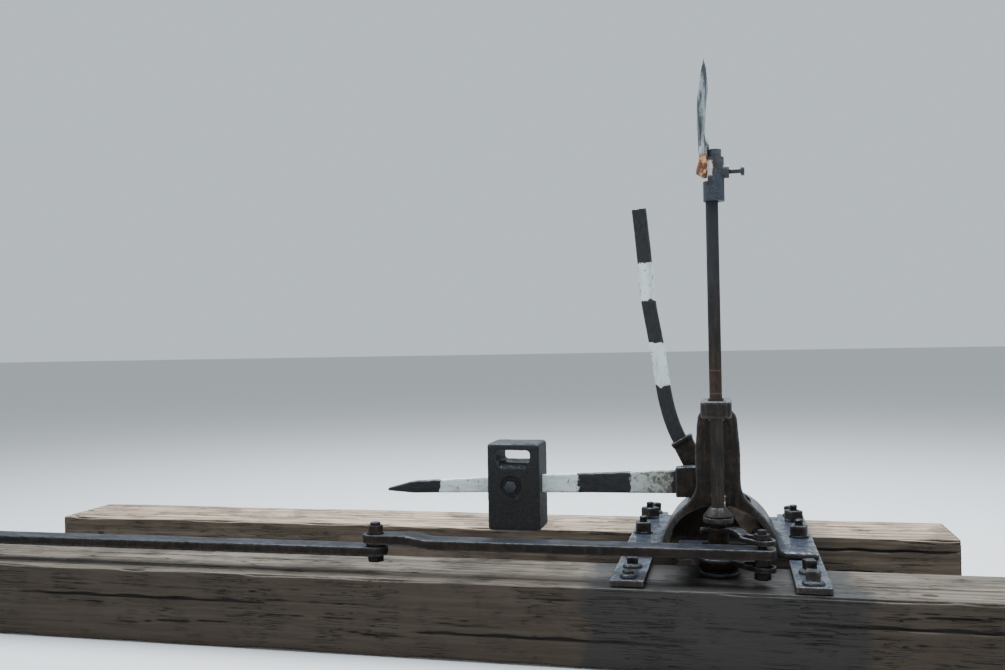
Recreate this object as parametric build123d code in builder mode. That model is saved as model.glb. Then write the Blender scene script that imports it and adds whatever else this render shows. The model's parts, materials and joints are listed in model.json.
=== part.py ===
"""Hand-operated railway switch stand on two timbers, at rest with its lever to the left.

Millimetres, +Z up, +X along the timbers, +Y along the track away from the handle side's front.
The origin is under the middle of the pair of timbers, on the ground.
Heights in the stand are counted from the timbers' upper face, and X from the stand's centre line.
"""
import os
from math import cos, hypot, radians, sin

from build123d import *

os.makedirs("parts", exist_ok=True)

# Timbers and cross plates
TIMBER_LENGTH = 2700
TIMBER_WIDTH = 250
TIMBER_HEIGHT = 180
TIMBER_PITCH = 632
TIMBER_STAGGER = 110
TIMBER_ARRIS = 8
STAND_FROM_END = 665
PLATE_PITCH = 390
PLATE_WIDTH = 76
PLATE_THICKNESS = 16
PLATE_LENGTH = 860
PLATE_CORNER = 3
SPIKE_HOLE = 22
SPIKE_EDGE = 30
SPIKE_SPACING = 100

# Drying checks in the timbers' upper faces and in the sides that look to the front: middle and run along
# the timber from its middle, place across the face from its own middle, width and depth
FRONT_TOP_CHECKS = (
    (-880, 560, 42, 5, 9),
    (-610, 430, -58, 4, 7),
    (-60, 520, 74, 5, 8),
    (330, 380, -20, 4, 7),
    (1130, 420, -16, 6, 10),
    (1240, 180, -78, 4, 7),
)
FRONT_SIDE_CHECKS = ((-760, 700, 22, 5, 8), (250, 620, -28, 5, 8), (1010, 480, 30, 5, 8))
BACK_TOP_CHECKS = (
    (-960, 500, -46, 5, 9),
    (-430, 620, 60, 5, 8),
    (60, 360, -70, 4, 7),
    (700, 300, 88, 4, 7),
    (1180, 300, 26, 5, 9),
)
BACK_SIDE_CHECKS = ((-700, 560, 16, 5, 8), (1150, 390, 55, 6, 9))

# Clearances
RUNNING_GAP = 0.3
SIDE_GAP = 5
FIT_GAP = 0.15

# Stand casting: a hollow hood with feet, two cheeks and the two bearings of the flag shaft
CASTING_FRONT = -180
CASTING_BACK = 290
HOOD_RISE = 150
HOOD_BACK_RISE = 134
HOOD_WALL = 14
HOOD_CROWN = 28
HOOD_SHOULDER = 11
HOOD_SIDE_ROOM = 12
TAIL_BACK = 262
TAIL_DRAW = 22
TAIL_RISE = 54
FOOT_REACH = 228
FOOT_THICKNESS = 18
FOOT_ROOT = 22
FOOT_EDGE = 4
FRAME_BOLT_HOLE = 24
FRAME_BOLT_ROWS = (12, 230)
CHEEK_THICKNESS = 25
CHEEK_FOOT_WIDTH = 108
CHEEK_HEAD_WIDTH = 91
CHEEK_HEAD = 369
CHEEK_SHOULDER = 26
CHEEK_FLARE = 30
CHEEK_FLARE_RADIUS = 60
CHEEK_EDGE = 5
REAR_CHEEK_RADIUS = 46
WELL_HALF_WIDTH = 75
UPPER_BEARING_RADIUS = 36
UPPER_BEARING_FLOOR = 353
UPPER_BEARING_HEAD = 396
UPPER_BEARING_CORNER = 15
UPPER_BEARING_EDGE = 6
UPPER_BRACKET_DROP = 34
LOWER_BEARING_RADIUS = 36
LOWER_BEARING_FLOOR = 115
LOWER_BEARING_HEAD = 131
LOWER_BRACKET_WIDTH = 36
LOWER_BRACKET_RISE = 4
GUSSET_THICKNESS = 12
GUSSET_SPREAD = 39
HEAD_SEAT_SPARE = 3

# Axle shared by the throw lever and the balance lever
AXLE_DIAMETER = 34
AXLE_HEIGHT = 190
AXLE_SOCKET_DEPTH = 18
AXLE_HEAD_DIAMETER = 46
AXLE_HEAD_THICKNESS = 12
HUB_RADIUS = 40

# Throw lever
LEVER_HUB_LENGTH = 80
THROW_HALF_ANGLE = 30
PIN_LOW_HEIGHT = 4
LOWER_ARM_THICKNESS = 20
LOWER_ARM_ROOT = 25
LOWER_ARM_EYE = 21
LEVER_PIN_DIAMETER = 22
LEVER_PIN_HEAD = 32
LEVER_PIN_HEAD_THICKNESS = 6
SOCKET_DEPTH = 34
SOCKET_RIM = 12
SOCKET_RIM_PROUD = 3
HANDLE_WIDTH = 38
HANDLE_THICKNESS = 16
HANDLE_SEAT_LENGTH = 34

# Balance lever and its counterweight
BALANCE_HUB_LENGTH = 88
BAR_THICKNESS = 22
BALANCE_SOCKET_MOUTH = -104
BALANCE_SOCKET_WALL = 9
BALANCE_SOCKET_LIP = 30
WEIGHT_WIDTH = 136
WEIGHT_DEPTH = 115
WEIGHT_HEIGHT = 223
WEIGHT_X = -505
WEIGHT_FLOOR = 60
WEIGHT_ROUND = 9
WINDOW_WIDTH = 86
WINDOW_HEIGHT = 31
WINDOW_CORNER = 8
WINDOW_HEAD_WALL = 19
WINDOW_LEDGE = 14
SET_BOLT_X = -511
SET_BOLT_HEIGHT = 172
SET_BOLT_DIAMETER = 16
SET_BOLT_HEAD = 32
SET_BOLT_HEAD_LENGTH = 12
SET_BOLT_RECESS = 54
SET_BOLT_RECESS_DEPTH = 5

# Drive bar, yoke and point rod
DRIVE_LINE_LEAD = 7
BAR_WIDTH = 60
BAR_DEPTH = 22
BAR_FLOOR = 60
BAR_RIGHT = 122
BAR_STEP_X = -660
BAR_STEP_RISE = 8
BAR_STEP_RUN = 50
JOINT_X = -795
JOINT_BOLT_DIAMETER = 24
JOINT_SPACER = 6
ROD_DEPTH = 24
ROD_LEFT = -1900
ROD_END_BORE = 26
YOKE_WIDTH = 24
YOKE_DEPTH = 15
YOKE_BACK_LINE = -206
YOKE_JOIN_X = -66
YOKE_JOIN_WIDTH = 56
YOKE_BEND = 16
YOKE_NOSE = 18
LUG_THICKNESS = 18
LUG_WALL = 8
LUG_SLOT_SPARE = 2

# Flag shaft, its footstep and rain skirt
SHAFT_FLATS = 28
SHAFT_CORNER = 4
SHAFT_JOURNAL = 35
SHAFT_SPIGOT = 28
SHAFT_Y = -270
JOURNAL_SPARE = 4
FOOT_RADIUS = 46
FOOT_FLANGE = 9
FOOT_BOSS_RADIUS = 30
FOOT_BOSS_HEAD = 28
FOOT_FLOOR = 4
SKIRT_GAP = 1
SKIRT_HEIGHT = 20
SKIRT_RADIUS = 34
SKIRT_NECK = 19

# Crank on the shaft, and the bolts of the drive line
CUP_FLOOR = 12
CUP_GAP = 2
CUP_PROFILE = ((40, 0), (53, 8), (60, 21), (60, 28), (56, 31))
CRANK_HUB_RADIUS = 24
CRANK_HUB_RISE = 5
CRANK_LOWER_FLOOR = 30
CRANK_ARM_THICKNESS = 13
CRANK_ARM_WIDTH = 30
CRANK_ARCH = 11
CRANK_WALL = 8
CRANK_SLOT_PLAY = 1.2
CRANK_SLOT_LEAD = 5
CRANK_SLOT_SPARE = 4
CRANK_GAP = 6
CRANK_SCREW_RADIUS = 8
CRANK_SCREW_REACH = 42
CRANK_PIN_DIAMETER = 20
CRANK_PIN_COLLAR = 34
CRANK_PIN_HEAD = 36
CRANK_PIN_HEAD_THICKNESS = 13
CRANK_PIN_PLAY = 3
CRANK_PIN_END = 20
NUT_LIFT = 1
NUT_WASHER = 3
CRANK_NUT_SIZE = 36
CRANK_NUT_HEIGHT = 7
JOINT_NUT_SIZE = 38
JOINT_NUT_HEIGHT = 16
JOINT_BOLT_HEAD = 40
JOINT_BOLT_HEAD_THICKNESS = 14
JOINT_BOLT_END = 26
JOINT_SPACER_WALL = 10

# Flag socket, its board and clamp screw
FLAG_SOCKET_RADIUS = 24
FLAG_SOCKET_SHIFT = 5
FLAG_SOCKET_FLOOR = 851
FLAG_SOCKET_BORE = 39
FLAG_SOCKET_WEB = 6
FLAG_NECK_RADIUS = 16.5
FLAG_NECK_SHIFT = 7
FLAG_NECK_LENGTH = 18
FLAG_FLAT_X = -8
SCREW_RISE = 22
SCREW_COVER = 33
SCREW_DIAMETER = 11
SCREW_REACH = 74
SCREW_HEAD_DIAMETER = 22
SCREW_HEAD_LENGTH = 8
SCREW_BOSS_RADIUS = 15
SCREW_BOSS_REACH = 40
SCREW_TIP = 18
BOARD_WIDTH = 64
BOARD_REACH = 60

# Derived places
STAND_X = TIMBER_LENGTH / 2 - STAND_FROM_END
PLATE_X = PLATE_PITCH / 2
AXLE_BORE = AXLE_DIAMETER + 2 * RUNNING_GAP
SHAFT_BORE = SHAFT_JOURNAL + 2 * RUNNING_GAP
SKIRT_FLOOR = LOWER_BEARING_HEAD + SKIRT_GAP
SKIRT_HEAD = SKIRT_FLOOR + SKIRT_HEIGHT
SPIKE_ROWS = (
    SPIKE_EDGE - PLATE_LENGTH / 2,
    SPIKE_EDGE + SPIKE_SPACING - PLATE_LENGTH / 2,
    PLATE_LENGTH / 2 - SPIKE_EDGE,
)
LOWER_ARM_LENGTH = AXLE_HEIGHT - PIN_LOW_HEIGHT
HALF_STROKE = LOWER_ARM_LENGTH * sin(radians(THROW_HALF_ANGLE))
DRIVE_LINE = HALF_STROKE + DRIVE_LINE_LEAD
LUG_HALF_WIDTH = LEVER_PIN_DIAMETER / 2 + LUG_SLOT_SPARE + LUG_WALL
HOOD_HALF_WIDTH = HALF_STROKE + LUG_HALF_WIDTH + HOOD_SIDE_ROOM + HOOD_WALL
TAIL_HALF_WIDTH = HOOD_HALF_WIDTH - TAIL_DRAW
PIN_REST_HEIGHT = AXLE_HEIGHT - LOWER_ARM_LENGTH * cos(radians(THROW_HALF_ANGLE))
FRONT_CHEEK_BACK = CASTING_FRONT + CHEEK_THICKNESS
BALANCE_FRONT = FRONT_CHEEK_BACK + SIDE_GAP
BALANCE_BACK = BALANCE_FRONT + BALANCE_HUB_LENGTH
BALANCE_Y = (BALANCE_FRONT + BALANCE_BACK) / 2
LEVER_FRONT = BALANCE_BACK + SIDE_GAP
LEVER_BACK = LEVER_FRONT + LEVER_HUB_LENGTH
LEVER_Y = (LEVER_FRONT + LEVER_BACK) / 2
REAR_CHEEK_FRONT = LEVER_BACK + SIDE_GAP
REAR_CHEEK_BACK = REAR_CHEEK_FRONT + CHEEK_THICKNESS
DRIVE_Y = SHAFT_Y - DRIVE_LINE
BAR_HEAD = BAR_FLOOR + BAR_DEPTH
YOKE_FLOOR = BAR_FLOOR - YOKE_DEPTH
JOINT_FLOOR = BAR_FLOOR + BAR_STEP_RISE
ROD_HEAD = JOINT_FLOOR - JOINT_SPACER
ROD_FLOOR = ROD_HEAD - ROD_DEPTH
LUG_FLOOR = PIN_LOW_HEIGHT - LEVER_PIN_DIAMETER / 2 - LUG_SLOT_SPARE - LUG_WALL
UPPER_ARM_FLOOR = BAR_HEAD + CRANK_GAP
UPPER_ARM_HEAD = UPPER_ARM_FLOOR + CRANK_ARM_THICKNESS
LOWER_ARM_HEAD = CRANK_LOWER_FLOOR + CRANK_ARM_THICKNESS
CRANK_HUB_HEAD = UPPER_ARM_HEAD + CRANK_HUB_RISE
CUP_SEAT = FOOT_BOSS_HEAD + CUP_GAP
CRANK_REST_ANGLE = -45
WINDOW_FLOOR = WEIGHT_FLOOR + WEIGHT_HEIGHT - WINDOW_HEAD_WALL - WINDOW_HEIGHT
FLAG_FLAT_FLOOR = FLAG_SOCKET_FLOOR + FLAG_SOCKET_BORE + FLAG_SOCKET_WEB
SCREW_HEIGHT = FLAG_FLAT_FLOOR + SCREW_RISE
FLAG_SOCKET_HEAD = SCREW_HEIGHT + SCREW_COVER
FLAG_NECK_HEAD = FLAG_SOCKET_HEAD + FLAG_NECK_LENGTH
SHAFT_HEAD = FLAG_SOCKET_FLOOR + FLAG_SOCKET_BORE - RUNNING_GAP


def level(height):
    """Horizontal plane at a height above the timbers, its origin on the stand's centre line."""
    return Plane(origin=(STAND_X, 0, TIMBER_HEIGHT + height))


def upright(depth):
    """Plane across the track at a depth Y, whose extrusions grow towards the front, -Y."""
    return Plane(origin=(STAND_X, depth, TIMBER_HEIGHT), x_dir=(1, 0, 0), z_dir=(0, -1, 0))


def lengthwise(across):
    """Plane along the track at a place across it, whose extrusions grow towards +X."""
    return Plane(origin=(STAND_X + across, 0, TIMBER_HEIGHT), x_dir=(0, 1, 0), z_dir=(1, 0, 0))


def finish(builder, name):
    """Label a finished piece and write it to its own file."""
    builder.part.label = name
    export_step(builder.part, f"parts/{name}.step")


def check_outline(middle, run, place, width):
    """Corners of a drying check on its face: pointed at both ends and widest in the middle."""
    return (
        (middle - run / 2, place),
        (middle, place - width / 2),
        (middle + run / 2, place),
        (middle, place + width / 2),
    )


def make_timber(name, depth, shift, top_checks, side_checks):
    """One sawn timber with worn upper arrises and the long checks of its drying."""
    top = Plane(origin=(shift, depth, TIMBER_HEIGHT))
    side = Plane(
        origin=(shift, depth - TIMBER_WIDTH / 2, TIMBER_HEIGHT / 2), x_dir=(1, 0, 0), z_dir=(0, -1, 0)
    )
    with BuildPart() as timber:
        with BuildSketch(Plane.XY):
            with Locations((shift, depth)):
                Rectangle(TIMBER_LENGTH, TIMBER_WIDTH)
        extrude(amount=TIMBER_HEIGHT)
        upper = timber.faces().sort_by(Axis.Z)[-1]
        fillet(upper.edges().filter_by(Axis.X), radius=TIMBER_ARRIS)
        for face, checks in ((top, top_checks), (side, side_checks)):
            for middle, run, place, width, opening in checks:
                with BuildSketch(face):
                    with BuildLine():
                        Polyline(*check_outline(middle, run, place, width), close=True)
                    make_face()
                extrude(amount=-opening, mode=Mode.SUBTRACT)
    finish(timber, name)


def make_plate(name, across):
    """One flat cross plate with holes for its spikes and for the stand's bolts."""
    with BuildPart() as plate:
        with BuildSketch(level(0)):
            with Locations((across, 0)):
                Rectangle(PLATE_WIDTH, PLATE_LENGTH)
        extrude(amount=PLATE_THICKNESS)
        chamfer(plate.edges().filter_by(Axis.Z), length=PLATE_CORNER)
        with BuildSketch(level(0)):
            with Locations(*[(across, row) for row in SPIKE_ROWS]):
                Circle(SPIKE_HOLE / 2)
            with Locations(*[(across, row) for row in FRAME_BOLT_ROWS]):
                Circle(FRAME_BOLT_HOLE / 2)
        extrude(amount=PLATE_THICKNESS, mode=Mode.SUBTRACT)
    finish(plate, name)


def bell(depth, half_width, rise):
    """Half ellipse that stands on the plates, on the upright plane at a depth."""
    with BuildSketch(upright(depth)) as section:
        with Locations((0, PLATE_THICKNESS)):
            Ellipse(half_width, rise)
        with Locations((0, PLATE_THICKNESS - rise / 2)):
            Rectangle(3 * half_width, rise, mode=Mode.SUBTRACT)
    return section.sketch


def make_stand_casting():
    """The one-piece casting: hood, feet, tail, two cheeks and the shaft's two bearings."""
    crown = PLATE_THICKNESS + HOOD_RISE
    half_foot = CHEEK_FOOT_WIDTH / 2
    half_head = CHEEK_HEAD_WIDTH / 2
    foot_head = TIMBER_HEIGHT + PLATE_THICKNESS + FOOT_THICKNESS
    hood_outside = (
        bell(CASTING_FRONT, HOOD_HALF_WIDTH, HOOD_RISE),
        bell(REAR_CHEEK_BACK, HOOD_HALF_WIDTH, HOOD_BACK_RISE),
    )
    tail_outside = (
        bell(REAR_CHEEK_BACK, HOOD_HALF_WIDTH, HOOD_BACK_RISE),
        bell(TAIL_BACK, TAIL_HALF_WIDTH, TAIL_RISE),
    )
    tail_inside = (
        bell(REAR_CHEEK_BACK, HOOD_HALF_WIDTH - HOOD_WALL, HOOD_BACK_RISE - HOOD_WALL),
        bell(TAIL_BACK, TAIL_HALF_WIDTH - HOOD_WALL, TAIL_RISE - HOOD_WALL),
    )
    hood_inside = bell(REAR_CHEEK_FRONT, HOOD_HALF_WIDTH - HOOD_WALL, HOOD_RISE - HOOD_CROWN)
    # Block of the upper bearing
    collar_back = FRONT_CHEEK_BACK - CHEEK_EDGE
    with BuildPart() as collar:
        with BuildSketch(level(UPPER_BEARING_FLOOR)):
            with Locations((0, (SHAFT_Y - UPPER_BEARING_RADIUS + collar_back) / 2)):
                RectangleRounded(
                    2 * UPPER_BEARING_RADIUS,
                    collar_back - SHAFT_Y + UPPER_BEARING_RADIUS,
                    UPPER_BEARING_CORNER,
                )
        extrude(amount=UPPER_BEARING_HEAD - UPPER_BEARING_FLOOR)
        rims = collar.edges().group_by(Axis.Z)
        fillet(rims[0] + rims[-1], radius=UPPER_BEARING_EDGE)
    with BuildPart() as casting:
        # Hood over the mechanism, a little lower behind, with its feet
        loft(sections=hood_outside)
        with BuildSketch(upright(REAR_CHEEK_BACK)):
            with Locations((0, PLATE_THICKNESS + FOOT_THICKNESS / 2)):
                Rectangle(2 * FOOT_REACH, FOOT_THICKNESS)
        extrude(amount=REAR_CHEEK_BACK - CASTING_FRONT)
        seams = casting.edges().filter_by_position(Axis.Z, foot_head - 1, foot_head + 1)
        roots = seams.filter_by_position(Axis.X, STAND_X - HOOD_HALF_WIDTH - 1, STAND_X + HOOD_HALF_WIDTH + 1)
        fillet(roots, radius=FOOT_ROOT)
        front_rim = casting.faces().sort_by(Axis.Y)[0].edges().sort_by(Axis.Z)[-1]
        fillet(front_rim, radius=HOOD_SHOULDER)
        # Feet of the tail
        for side in (-1, 1):
            with BuildSketch(level(PLATE_THICKNESS)):
                with Locations((side * (FOOT_REACH + TAIL_HALF_WIDTH) / 2, (CASTING_BACK + REAR_CHEEK_BACK) / 2)):
                    Rectangle(FOOT_REACH - TAIL_HALF_WIDTH, CASTING_BACK - REAR_CHEEK_BACK)
            extrude(amount=FOOT_THICKNESS)
        # Tail, which slopes down behind the rear cheek
        loft(sections=tail_outside)
        # Front cheek: a tapered plate with round shoulders, which flares into the hood
        with BuildSketch(upright(FRONT_CHEEK_BACK)) as cheek:
            with BuildLine():
                Polyline(
                    (-half_foot - CHEEK_FLARE, crown - CHEEK_FLARE),
                    (-half_foot, crown),
                    (-half_foot, (crown + CHEEK_HEAD) / 2),
                    (-half_head, CHEEK_HEAD),
                    (half_head, CHEEK_HEAD),
                    (half_foot, (crown + CHEEK_HEAD) / 2),
                    (half_foot, crown),
                    (half_foot + CHEEK_FLARE, crown - CHEEK_FLARE),
                    close=True,
                )
            make_face()
            fillet(cheek.vertices().group_by(Axis.Y)[-1], radius=CHEEK_SHOULDER)
            fillet(cheek.vertices().group_by(Axis.Y)[1], radius=CHEEK_FLARE_RADIUS)
        extrude(amount=CHEEK_THICKNESS)
        # Rear cheek, lower, round about the axle, on the wall that closes the hood
        with BuildSketch(upright(REAR_CHEEK_BACK)):
            with Locations((0, AXLE_HEIGHT)):
                Circle(REAR_CHEEK_RADIUS)
            with Locations((0, (AXLE_HEIGHT + PLATE_THICKNESS) / 2)):
                Rectangle(2 * REAR_CHEEK_RADIUS, AXLE_HEIGHT - PLATE_THICKNESS)
        extrude(amount=CHEEK_THICKNESS)
        # Gussets behind the rear cheek, one each side of the axle's head
        for side in (-1, 1):
            with BuildSketch(lengthwise(side * GUSSET_SPREAD - GUSSET_THICKNESS / 2)):
                with BuildLine():
                    Polyline(
                        (REAR_CHEEK_BACK - 1, AXLE_HEIGHT + REAR_CHEEK_RADIUS * 0.4),
                        (REAR_CHEEK_BACK - 1, PLATE_THICKNESS + HOOD_BACK_RISE - HOOD_WALL),
                        (TAIL_BACK - HOOD_WALL, PLATE_THICKNESS + TAIL_RISE - HOOD_WALL),
                        (TAIL_BACK - HOOD_WALL, PLATE_THICKNESS + TAIL_RISE),
                        close=True,
                    )
                make_face()
            extrude(amount=GUSSET_THICKNESS)
        # Upper bearing, with a hollow-curved bracket under it
        add(collar.part)
        drop = UPPER_BRACKET_DROP
        bracket_width = 2 * UPPER_BEARING_RADIUS - 2 * UPPER_BEARING_EDGE
        with BuildSketch(lengthwise(-bracket_width / 2)):
            with BuildLine():
                ThreePointArc(
                    (CASTING_FRONT, UPPER_BEARING_FLOOR - drop),
                    (CASTING_FRONT - drop * (1 - cos(radians(45))), UPPER_BEARING_FLOOR - drop * (1 - sin(radians(45)))),
                    (CASTING_FRONT - drop, UPPER_BEARING_FLOOR),
                )
                Polyline(
                    (CASTING_FRONT - drop, UPPER_BEARING_FLOOR),
                    (CASTING_FRONT - drop, UPPER_BEARING_FLOOR + UPPER_BEARING_EDGE),
                    (CASTING_FRONT + CHEEK_EDGE, UPPER_BEARING_FLOOR + UPPER_BEARING_EDGE),
                    (CASTING_FRONT + CHEEK_EDGE, UPPER_BEARING_FLOOR - drop),
                    (CASTING_FRONT, UPPER_BEARING_FLOOR - drop),
                )
            make_face()
        extrude(amount=bracket_width)
        # Lower bearing, on a bracket with a sloped top
        with BuildSketch(level(LOWER_BEARING_FLOOR)):
            with Locations((0, SHAFT_Y)):
                Circle(LOWER_BEARING_RADIUS)
        extrude(amount=LOWER_BEARING_HEAD - LOWER_BEARING_FLOOR)
        with BuildSketch(lengthwise(-LOWER_BRACKET_WIDTH / 2)):
            with BuildLine():
                Polyline(
                    (SHAFT_Y, LOWER_BEARING_FLOOR),
                    (SHAFT_Y, LOWER_BEARING_HEAD),
                    (SHAFT_Y + LOWER_BEARING_RADIUS, LOWER_BEARING_HEAD),
                    (CASTING_FRONT + CHEEK_EDGE, crown + LOWER_BRACKET_RISE),
                    (CASTING_FRONT + CHEEK_EDGE, crown - HOOD_CROWN),
                    (CASTING_FRONT, crown - HOOD_CROWN),
                    close=True,
                )
            make_face()
        extrude(amount=LOWER_BRACKET_WIDTH)
        # Hollows of the hood and of the tail
        extrude(to_extrude=hood_inside, amount=REAR_CHEEK_FRONT - CASTING_FRONT, mode=Mode.SUBTRACT)
        loft(sections=tail_inside, mode=Mode.SUBTRACT)
        # Open well through the crown, between the cheeks
        with BuildSketch(level(PLATE_THICKNESS)):
            with Locations((0, (FRONT_CHEEK_BACK + REAR_CHEEK_FRONT) / 2)):
                Rectangle(2 * WELL_HALF_WIDTH, REAR_CHEEK_FRONT - FRONT_CHEEK_BACK)
        extrude(amount=HOOD_RISE + 1, mode=Mode.SUBTRACT)
        # Room round the axle's head
        relief_back = REAR_CHEEK_BACK + AXLE_HEAD_THICKNESS + HEAD_SEAT_SPARE
        with BuildSketch(upright(relief_back)):
            with Locations((0, AXLE_HEIGHT)):
                Circle(AXLE_HEAD_DIAMETER / 2 + HEAD_SEAT_SPARE)
        extrude(amount=relief_back - REAR_CHEEK_BACK, mode=Mode.SUBTRACT)
        # Shaft bore through both bearings
        with BuildSketch(level(LOWER_BEARING_FLOOR)):
            with Locations((0, SHAFT_Y)):
                Circle(SHAFT_BORE / 2)
        extrude(amount=UPPER_BEARING_HEAD - LOWER_BEARING_FLOOR, mode=Mode.SUBTRACT)
        # Axle bore, through the rear cheek and blind in the front one
        axle_front = FRONT_CHEEK_BACK - AXLE_SOCKET_DEPTH
        with BuildSketch(upright(REAR_CHEEK_BACK)):
            with Locations((0, AXLE_HEIGHT)):
                Circle(AXLE_DIAMETER / 2 + FIT_GAP)
        extrude(amount=REAR_CHEEK_BACK - axle_front, mode=Mode.SUBTRACT)
        # Frame bolt holes in the feet
        with BuildSketch(level(PLATE_THICKNESS)):
            with Locations(*[(side * PLATE_X, row) for side in (-1, 1) for row in FRAME_BOLT_ROWS]):
                Circle(FRAME_BOLT_HOLE / 2)
        extrude(amount=FOOT_THICKNESS, mode=Mode.SUBTRACT)
    finish(casting, "stand_casting")


def make_axle():
    """Headed pin through both levers, its front end blind in the front cheek."""
    front = FRONT_CHEEK_BACK - AXLE_SOCKET_DEPTH + RUNNING_GAP
    back = REAR_CHEEK_BACK + AXLE_HEAD_THICKNESS
    with BuildPart() as axle:
        with BuildSketch(upright(back)):
            with Locations((0, AXLE_HEIGHT)):
                Circle(AXLE_DIAMETER / 2)
        extrude(amount=back - front)
        with BuildSketch(upright(back)):
            with Locations((0, AXLE_HEIGHT)):
                Circle(AXLE_HEAD_DIAMETER / 2)
        extrude(amount=AXLE_HEAD_THICKNESS)
    finish(axle, "axle")


def make_foot_bearing():
    """Flanged footstep on the front timber that carries the flag shaft's lower end."""
    with BuildPart() as foot:
        with BuildSketch(level(0)):
            with Locations((0, SHAFT_Y)):
                Circle(FOOT_RADIUS)
        extrude(amount=FOOT_FLANGE)
        with BuildSketch(level(FOOT_FLANGE)):
            with Locations((0, SHAFT_Y)):
                Circle(FOOT_BOSS_RADIUS)
        extrude(amount=FOOT_BOSS_HEAD - FOOT_FLANGE)
        with BuildSketch(level(FOOT_FLOOR)):
            with Locations((0, SHAFT_Y)):
                Circle(SHAFT_BORE / 2)
        extrude(amount=FOOT_BOSS_HEAD - FOOT_FLOOR, mode=Mode.SUBTRACT)
    finish(foot, "foot_bearing")


# Throw lever: socket frame and handle line, X and height
SOCKET_LEFT = (-117, 270)
SOCKET_RIGHT = (-71, 296)
SOCKET_ELBOW = (-66, 228)
SOCKET_ELBOW_RADIUS = 27
HANDLE_LINE = (
    (-99, 285),
    (-136, 417),
    (-151, 528),
    (-169, 638),
    (-178, 755),
    (-184, 823),
    (-189, 878),
)
LEVER_PIN_X = HALF_STROKE


def socket_direction():
    """Unit vector out of the lever's socket, square to its rim, in X and height."""
    rim_x = SOCKET_RIGHT[0] - SOCKET_LEFT[0]
    rim_z = SOCKET_RIGHT[1] - SOCKET_LEFT[1]
    length = hypot(rim_x, rim_z)
    return -rim_z / length, rim_x / length


def handle_side(offset):
    """Points beside the handle's centre line, the seat in the socket first."""
    out_x, out_z = socket_direction()
    seat = (
        HANDLE_LINE[0][0] - out_x * HANDLE_SEAT_LENGTH,
        HANDLE_LINE[0][1] - out_z * HANDLE_SEAT_LENGTH,
    )
    line = (seat,) + HANDLE_LINE
    side = []
    for index, (x, z) in enumerate(line):
        before = line[max(index - 1, 0)]
        after = line[min(index + 1, len(line) - 1)]
        run = hypot(after[0] - before[0], after[1] - before[1])
        side.append((x + offset * (after[1] - before[1]) / run, z - offset * (after[0] - before[0]) / run))
    return side


def make_lever_arm():
    """Forging of hub, lower arm and handle socket."""
    with BuildPart() as lever:
        with BuildSketch(upright(LEVER_BACK)):
            with Locations((0, AXLE_HEIGHT)):
                Circle(HUB_RADIUS)
        extrude(amount=LEVER_HUB_LENGTH)
        # Lower arm
        arm_back = LEVER_Y + LOWER_ARM_THICKNESS / 2
        with BuildSketch(upright(arm_back)):
            with Locations((0, AXLE_HEIGHT)):
                Circle(LOWER_ARM_ROOT)
            with Locations((LEVER_PIN_X, PIN_REST_HEIGHT)):
                Circle(LOWER_ARM_EYE)
            make_hull()
        extrude(amount=LOWER_ARM_THICKNESS)
        # Bent upper arm and socket
        socket_back = LEVER_Y + SOCKET_DEPTH / 2
        with BuildSketch(upright(socket_back)):
            with Locations((0, AXLE_HEIGHT)):
                Circle(HUB_RADIUS * 0.75)
            with Locations(SOCKET_ELBOW):
                Circle(SOCKET_ELBOW_RADIUS)
            make_hull()
        extrude(amount=SOCKET_DEPTH)
        out_x, out_z = socket_direction()
        with BuildSketch(upright(socket_back)):
            with Locations(SOCKET_ELBOW):
                Circle(SOCKET_ELBOW_RADIUS)
            with BuildLine():
                Polyline(
                    SOCKET_LEFT,
                    SOCKET_RIGHT,
                    (SOCKET_RIGHT[0] - out_x * SOCKET_RIM, SOCKET_RIGHT[1] - out_z * SOCKET_RIM),
                    (SOCKET_LEFT[0] - out_x * SOCKET_RIM, SOCKET_LEFT[1] - out_z * SOCKET_RIM),
                    close=True,
                )
            make_face()
            make_hull()
        extrude(amount=SOCKET_DEPTH)
        # Proud rim round the socket's mouth
        proud = SOCKET_RIM_PROUD
        rim_left = (SOCKET_LEFT[0] - out_z * proud, SOCKET_LEFT[1] + out_x * proud)
        rim_right = (SOCKET_RIGHT[0] + out_z * proud, SOCKET_RIGHT[1] - out_x * proud)
        with BuildSketch(upright(socket_back + proud)):
            with BuildLine():
                Polyline(
                    rim_left,
                    rim_right,
                    (rim_right[0] - out_x * SOCKET_RIM, rim_right[1] - out_z * SOCKET_RIM),
                    (rim_left[0] - out_x * SOCKET_RIM, rim_left[1] - out_z * SOCKET_RIM),
                    close=True,
                )
            make_face()
        extrude(amount=SOCKET_DEPTH + 2 * proud)
        # Pocket for the handle bar
        left = handle_side(-HANDLE_WIDTH / 2 - FIT_GAP)
        right = handle_side(HANDLE_WIDTH / 2 + FIT_GAP)
        with BuildSketch(upright(LEVER_Y + HANDLE_THICKNESS / 2 + FIT_GAP)):
            with BuildLine():
                Spline(*left)
                Line(left[-1], right[-1])
                Spline(*right)
                Line(right[0], left[0])
            make_face()
        extrude(amount=HANDLE_THICKNESS + 2 * FIT_GAP, mode=Mode.SUBTRACT)
        # Axle bore
        with BuildSketch(upright(LEVER_BACK)):
            with Locations((0, AXLE_HEIGHT)):
                Circle(AXLE_BORE / 2)
        extrude(amount=LEVER_HUB_LENGTH, mode=Mode.SUBTRACT)
        # Bore for the driving pin
        with BuildSketch(upright(arm_back)):
            with Locations((LEVER_PIN_X, PIN_REST_HEIGHT)):
                Circle(LEVER_PIN_DIAMETER / 2 + FIT_GAP)
        extrude(amount=LOWER_ARM_THICKNESS, mode=Mode.SUBTRACT)
    finish(lever, "lever_arm")


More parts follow.
